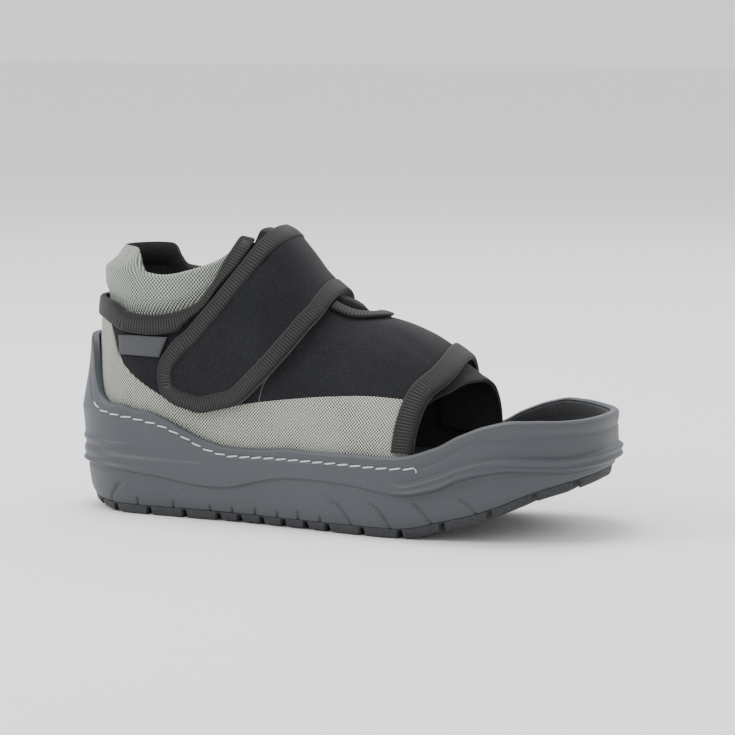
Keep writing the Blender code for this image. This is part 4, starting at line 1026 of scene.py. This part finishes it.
def buildCuff():
    inside = last["wall"] + 1.6 * last["layer"] + last["gap"]
    share = np.linspace(0, 1, cuff["rows"])
    stations = np.linspace(0, cuff["end"], cuff["stations"])
    points, quads, uvs, mark = twoSides(
        lambda side: (np.array([cuffLine(along, side, share) for along in stations]), share), upright=True)
    room = ease((mark - 0.52) / 0.2) * (1 - mark)
    nearTop = np.clip((1 - mark) * 0.04 / (0.5 * cuff["wall"]), 0, 1)
    rounded = 0.5 * cuff["wall"] * quarterRound(nearTop)
    outer = -inside - rounded * 0.9 + cuff["puff"] * room * ease(nearTop)
    inner = -inside - cuff["wall"] + rounded * 0.9
    piece = shellMesh("heelCuff", points, quads, uvs, outer, inner, cuffPaint, liningPaint, sharp=60)
    return addToShoe(piece, "cuff_textile", "heel_cuff")


# tongue under the throat
tongue = {
    "wall": 0.0025, "half": 0.027, "swell": 0.0018, "stations": 80, "across": 61, "from": 0.354, "to": 0.612,
}


def buildTongue():
    inside = last["wall"] + last["layer"]
    along = np.linspace(tongue["from"], tongue["to"], tongue["stations"])[:, None]
    share = np.linspace(1, -1, tongue["across"])[None]
    widen = tongue["half"] * (1 - 0.25 * ease((along - 0.5) / 0.13))
    side = np.where(share < 0, -1.0, 1.0) + 0 * along
    around = aroundAtWidth(along + 0 * share, side, np.abs(share) * widen)
    grid = skin(along + 0 * share, around)
    puff = ease((along - 0.485) / 0.03) * ease((0.552 - along) / 0.03)
    room = last["throat"] * read(throatRows, along) - 0.0035
    bulge = np.where(room > 0, ease((room - np.abs(share) * widen) / 0.007), 0)
    lift = -inside + bulge * (inside - last["layer"] + tongue["swell"] * puff)
    points, quads, uvs, lift = oneSheet(grid, lift)
    piece = shellMesh("tonguePad", points, quads, uvs, lift, lift - tongue["wall"], napPaint, liningPaint)
    return addToShoe(piece, "tongue_textile", "tongue")


# ribbed tapes over the edges
def edgeBand(path, width, steps):
    # rows of places on the upper that run inward from an edge; path holds (along, around), width in metres
    path = np.asarray(path, float)
    spots, normal, _, _ = skinFrame(path[:, 0], path[:, 1])
    inward = unit(np.cross(normal, unit(np.gradient(spots, axis=0))))
    spots = [path.copy()]
    stride = (np.broadcast_to(width, len(path)) / steps)[:, None]
    for _ in range(steps):
        here = spots[-1]
        _, normal, byAlong, byAround = skinFrame(here[:, 0], here[:, 1])
        move = unit(inward - normal * np.sum(inward * normal, axis=1)[:, None]) * stride
        # solve the step in the two directions of the surface
        aa = np.sum(byAlong * byAlong, axis=1)
        rr = np.sum(byAround * byAround, axis=1)
        ar = np.sum(byAlong * byAround, axis=1)
        ma, mr = np.sum(move * byAlong, axis=1), np.sum(move * byAround, axis=1)
        det = aa * rr - ar * ar
        spots.append(here + np.column_stack([(rr * ma - ar * mr) / det, (aa * mr - ar * ma) / det]))
    return np.array(spots), inward


def evenPath(path, step):
    # the same path at even steps
    path = np.asarray(path, float)
    run = runOf(skin(path[:, 0], path[:, 1]))
    spots = np.linspace(0, run[-1], int(run[-1] / step))
    return np.column_stack([np.interp(spots, run, path[:, 0]), np.interp(spots, run, path[:, 1])]), spots


def roundPath(path, reach):
    # corners of a path softened over a given number of metres, its two ends kept
    path, _ = evenPath(path, tapes["step"])
    half = max(1, int(reach / tapes["step"] / 2))
    padded = np.vstack([2 * path[0] - path[half:0:-1], path, 2 * path[-1] - path[-2:-half - 2:-1]])
    kernel = np.hanning(2 * half + 3)[1:-1]
    kernel /= kernel.sum()
    return np.column_stack([np.convolve(padded[:, k], kernel, "valid") for k in range(2)])


def tapeMesh(name, path, width, base, thick, down, replaced=(), reach=None, plainFrom=None):
    # tape laid over an edge: base is its lift over the upper, down how far it turns under
    steps = tapes["steps"]
    path, run = evenPath(path, tapes["step"])
    if callable(width):
        width = width(path[:, 0])
    band, inward = edgeBand(path, width, steps)
    spots, normal, _, _ = skinFrame(band[..., 0], band[..., 1])
    rib = np.sqrt(0.5 + 0.5 * np.cos(run * 2 * np.pi / tapes["pitch"]))
    if plainFrom is not None:
        rib = rib * plainFrom(path[:, 1])
    # marks carry the painted highlight into the uv: full on the raised middle, fading over the turn, none underneath
    rows, marks = [], []
    for k in range(steps, -1, -1):
        share = k / steps
        hump = np.sin(np.pi * np.clip(share, 0.02, 0.98)) ** 0.6
        height = base + thick * (0.45 + 0.55 * ease((1 - share) / 0.1)) + tapes["crown"] * hump
        height = height + tapes["rib"] * rib * (0.35 + 0.65 * hump)
        rows.append(spots[k] + normal[k] * height[:, None])
        marks.append(hump)
    edgeAt, edgeNormal = spots[0], normal[0]
    out = -inward
    reach = (base + thick if reach is None else reach) + 0.6 * tapes["rib"] * rib
    under = base * 0.9 if reach.max() > base else -0.0002
    for turn in (0.35, 0.75, 1.0):
        angle = turn * np.pi / 2
        lift = base + thick * np.cos(angle) + (1 - np.cos(angle)) * -0.0002
        rows.append(edgeAt + edgeNormal * lift + out * (reach * np.sin(angle))[:, None])
        marks.append(0.45 * (1 - turn))
    rows += [
        edgeAt - edgeNormal * down * 0.6 + out * reach[:, None],
        edgeAt - edgeNormal * down + out * (reach * 0.8)[:, None], edgeAt - edgeNormal * down + out * under,
        edgeAt + edgeNormal * base * 0.9 + out * under,
        spots[steps // 2] + normal[steps // 2] * base, spots[steps] + normal[steps] * base,
    ]
    marks += [0.1, 0.0, 0.0, 0.0, 0.0, 0.0]
    grid = np.array(rows)
    count, length = grid.shape[:2]
    faces = barFaces(count, length)
    uvOf = np.stack([np.broadcast_to(run, (count, length)),
                     np.broadcast_to(np.array(marks)[:, None], (count, length))], axis=-1).reshape(-1, 2)
    corners = np.array([uvOf[corner] for face in faces for corner in face])
    piece = makeMesh(name, grid.reshape(-1, 3), faces, tapePaint, corners, sharp=75)
    return addToShoe(piece, "tape", *replaced)


tapeShareRows = [
    (0.0, 1.0), (0.21, 1.0), (0.26, 0.42), (0.293, 0.32), (0.306, 0.5), (0.318, 0.8), (0.33, 0.85),
    (1.0, 1.0),
]


def buildTapes():
    laid = (tapes["base"], tapes["thick"], tapes["under"])
    fine = np.linspace(0.0, tapes["toplineEnd"], 300)
    path = [(along, float(topAround(along, -1))) for along in fine[::-1]]
    path += [(-along, 2 - float(topAround(along, 1))) for along in fine[1:]]
    path = np.array(path)
    tapeMesh("toplineTape", path, lambda a: tapes["toplineWidth"] * read(tapeShareRows, np.abs(a)), *laid,
             ["topline_binding"])
    fine = np.linspace(tapes["throatStart"], tapes["throatEnd"] - 0.0002, 90)
    path = [(along, float(topAround(along, -1))) for along in fine]
    path += [(tapes["throatEnd"], 1.0)] + [(along, float(topAround(along, 1))) for along in fine[::-1]]
    tapeMesh("throatTape", roundPath(path[::-1], tapes["throatRound"]), tapes["throatWidth"], *laid, ["throat_binding"])
    ends = []
    for side, around in ((-1, 0.12), (1, 1.85)):
        foot = np.array(float(read(frontRows, around)) - 0.02)
        ends.append(float(aroundAtHeight(foot, side, rimZ(foot) + 0.0015)))
    around = np.linspace(ends[0], ends[1], 400)
    path = np.column_stack([read(frontRows, around), around])
    tapeMesh("toeTape", roundPath(path, tapes["toeRound"]), tapes["toeWidth"], *laid, ["toe_binding"],
             plainFrom=lambda r: 0.35 + 0.65 * ease((0.5 - r) / 0.2) + 0.65 * ease((r - 1.5) / 0.2))


# ankle strap with its bound edges
strap = {
    "wall": 0.0026, "binding": 0.0082, "tape": 0.0007, "turn": 0.0003, "proud": 0.0005, "steps": 420, "across": 46,
}
strapRows = [
    (0.0, 0.186, 0.094, 0.192, 0.068), (0.5, 0.188, 0.108, 0.207, 0.06), (1.0, 0.192, 0.125, 0.232, 0.055),
    (2.0, 0.215, 0.168, 0.271, 0.056), (3.0, 0.25, 0.228, 0.312, 0.073), (4.0, 0.278, 0.305, 0.352, 0.098),
    (5.0, 0.303, 0.385, 0.391, 0.168), (6.0, 0.325, 0.47, 0.425, 0.275), (7.0, 0.345, 0.565, 0.452, 0.405),
    (8.0, 0.359, 0.665, 0.472, 0.54), (9.0, 0.369, 0.765, 0.487, 0.685), (10.0, 0.376, 0.875, 0.491, 0.83),
    (11.0, 0.378, 1.0, 0.49, 1.0),
]
strapFolds = [
    ((0.335, 0.7), (0.42, 0.62), -0.0006, 0.0035),
    ((0.3, 0.52), (0.39, 0.42), 0.0004, 0.006),
    ((0.235, 0.15), (0.275, 0.11), -0.0004, 0.005),
]


def strapEdge(mark, which):
    column = 1 if which == "top" else 3
    return read(strapRows, mark, column), read(strapRows, mark, column + 1)


def buildStrap():
    half = np.linspace(0, strapRows[-1][0], strap["steps"] // 2)
    share = np.linspace(0, 1, strap["across"])
    grids = []
    for side, marks in ((-1, half), (1, half[::-1])):
        topA, topR = strapEdge(marks[:, None], "top")
        lowA, lowR = strapEdge(marks[:, None], "low")
        grids.append(skin(topA + (lowA - topA) * share, bySide(side, topR + (lowR - topR) * share)))
    points, quads, uvs, _ = oneSheet(np.concatenate([grids[0], grids[1][1:]]))
    lift = foldShift(points, strapFolds)
    base = last["layer"]
    piece = shellMesh("strapCloth", points, quads, uvs, base + strap["wall"] - 0.0001 + lift, base, napPaint,
                      liningPaint)
    addToShoe(piece, "strap_textile", "ankle_strap")
    marks = np.linspace(0, strapRows[-1][0], 400)
    topA, topR = strapEdge(marks, "top")
    lowA, lowR = strapEdge(marks, "low")
    loop = list(zip(topA[::-1], topR[::-1])) + list(zip(lowA, lowR))
    loop += list(zip(lowA[::-1], 2 - lowR[::-1]))[1:] + list(zip(topA, 2 - topR))[:-1]
    loop = np.array(loop + loop[:1])
    tapeMesh("strapTape", loop, strap["binding"], base + strap["wall"] - 0.0002, strap["tape"], strap["turn"],
             reach=strap["proud"])


# flap under the front edge, label and panel seam
flap = {"from": 1.86, "to": 0.46, "back": 0.64, "wall": 0.002, "hem": 0.0003, "across": 150, "rows": 34}


def buildFlap():
    inside = last["wall"] + last["layer"] + last["gap"]
    around = np.linspace(flap["from"], flap["to"], flap["across"])[:, None]
    share = np.linspace(0, 1, flap["rows"])[None]
    along = flap["back"] + (read(frontRows, around, 2) - flap["back"]) * share
    points, quads, uvs, near = oneSheet(skin(along, around + 0 * share), 1 - share)
    hem = flap["hem"] * ease((0.1 - near) / 0.03) - flap["hem"] * bell(near - 0.13, 0.02)
    piece = shellMesh("frontFlap", points, quads, uvs, -inside + hem - flap["hem"], -inside - flap["wall"], napPaint,
                      liningPaint)
    return addToShoe(piece, "flap_textile", "vamp_underlap")


# start and run of the label's upper and lower edge, each as (along, around)
label = {
    "top": ((0.099, 0.138), (0.103, 0.048)), "low": ((0.103, 0.1), (0.08, 0.029)), "proud": 0.0011,
    "roll": 0.0004, "back": 0.0002,
}


def buildLabel():
    share = np.linspace(0, 1, 40)[:, None]
    down = np.linspace(1, 0, 20)[None]
    top, low = ([start + run * share for start, run in zip(*label[edge])] for edge in ("top", "low"))
    grid = skin(*(top[k] + (low[k] - top[k]) * down for k in (0, 1)))
    edge = np.minimum(np.minimum(share, 1 - share) * 2.2, np.minimum(down, 1 - down))
    points, quads, uvs, edge = oneSheet(grid, edge)
    lift = label["proud"] - label["roll"] * (1 - ease(edge / 0.1))
    piece = shellMesh("sideLabel", points, quads, uvs, lift, label["back"], labelPaint)
    return addToShoe(piece, "label", "side_tab")


panelSeam = [
    (0.462, 0.545), (0.459, 0.52), (0.446, 0.43), (0.434, 0.357), (0.422, 0.27), (0.41, 0.22), (0.399, 0.177),
    (0.393, 0.135), (0.393, 0.118),
]
seamThread = {"radius": 0.00034, "lift": 0.00008}


def buildSeam():
    tubes = []
    fine = np.linspace(0, len(panelSeam) - 1, 60)
    a, r = (np.interp(fine, np.arange(len(panelSeam)), column) for column in np.transpose(panelSeam))
    for side in (-1, 1):
        spots, normal, _, _ = skinFrame(a, bySide(side, r))
        spots = spots + normal * (foldShift(spots, panelFolds) - last["step"] + seamThread["lift"])[:, None]
        tubes.append(tube(spots, seamThread["radius"], upWay=normal))
    verts, faces = joined(tubes)
    return addToShoe(makeMesh("panelSeam", verts, faces, seamPaint, sharp=80), "upper_textile")


for build in (buildCup, buildStitching, buildTread, buildFootbed, buildUpper, buildCuff, buildTongue, buildTapes,
              buildStrap, buildFlap, buildLabel, buildSeam):
    build()

# floor, light and camera
view = {"azimuth": 21.0, "elevation": 7.0, "distance": 1.5, "pixels": 2905.0, "frame": 735.0, "sensor": 36.0}
azimuth, elevation = math.radians(view["azimuth"]), math.radians(view["elevation"])
back = Vector((math.sin(azimuth) * math.cos(elevation), -math.cos(azimuth) * math.cos(elevation),
               math.sin(elevation)))
right = Vector((math.cos(azimuth), math.sin(azimuth), 0))
up = back.cross(right)
target = Vector((0, last["sideShift"], 0.07)) + right * 0.012 + up * 0.0076
lens = bpy.data.cameras.new("photoView")
lens.sensor_width = view["sensor"]
lens.lens = view["pixels"] / view["frame"] * view["sensor"]
lens.clip_end = 100.0
camera = place("photoView", lens)
camera.matrix_world = Matrix.Translation(target + back * view["distance"]) @ Matrix(
    (right, up, back)).transposed().to_4x4()
bpy.context.scene.camera = camera

floorMesh = bpy.data.meshes.new("studioFloor")
floorMesh.from_pydata([(-12, -12, 0), (12, -12, 0), (12, 12, 0), (-12, 12, 0)], [], [(0, 1, 2, 3)])
floorMesh.materials.append(Finish("studioFloor", 0.9, Specular_IOR_Level=0.1, Base_Color=(0.92, 0.92, 0.92, 1)).look)
place("studioFloor", floorMesh)

world = bpy.data.worlds.new("studio")
bpy.context.scene.world = world
world.use_nodes = True
sky = world.node_tree.nodes["Background"]
sky.inputs["Color"].default_value = (1, 1, 1, 1)
sky.inputs["Strength"].default_value = 1.14


def addLight(name, spot, size, power):
    lamp = bpy.data.lights.new(name, "AREA")
    lamp.shape = "SQUARE"
    lamp.size = size
    lamp.energy = power
    thing = place(name, lamp)
    thing.location = spot
    thing.rotation_euler = (Vector((0, 0, 0.06)) - Vector(spot)).to_track_quat("-Z", "Y").to_euler()


# name, place, size in metres, power in watts
addLight("keyLight", (-1.5, -1.0, 1.3), 0.9, 25.0)
addLight("topLight", (-0.3, 0.2, 1.9), 1.0, 24.0)
addLight("backLight", (0.2, 1.6, 1.2), 1.2, 6.0)
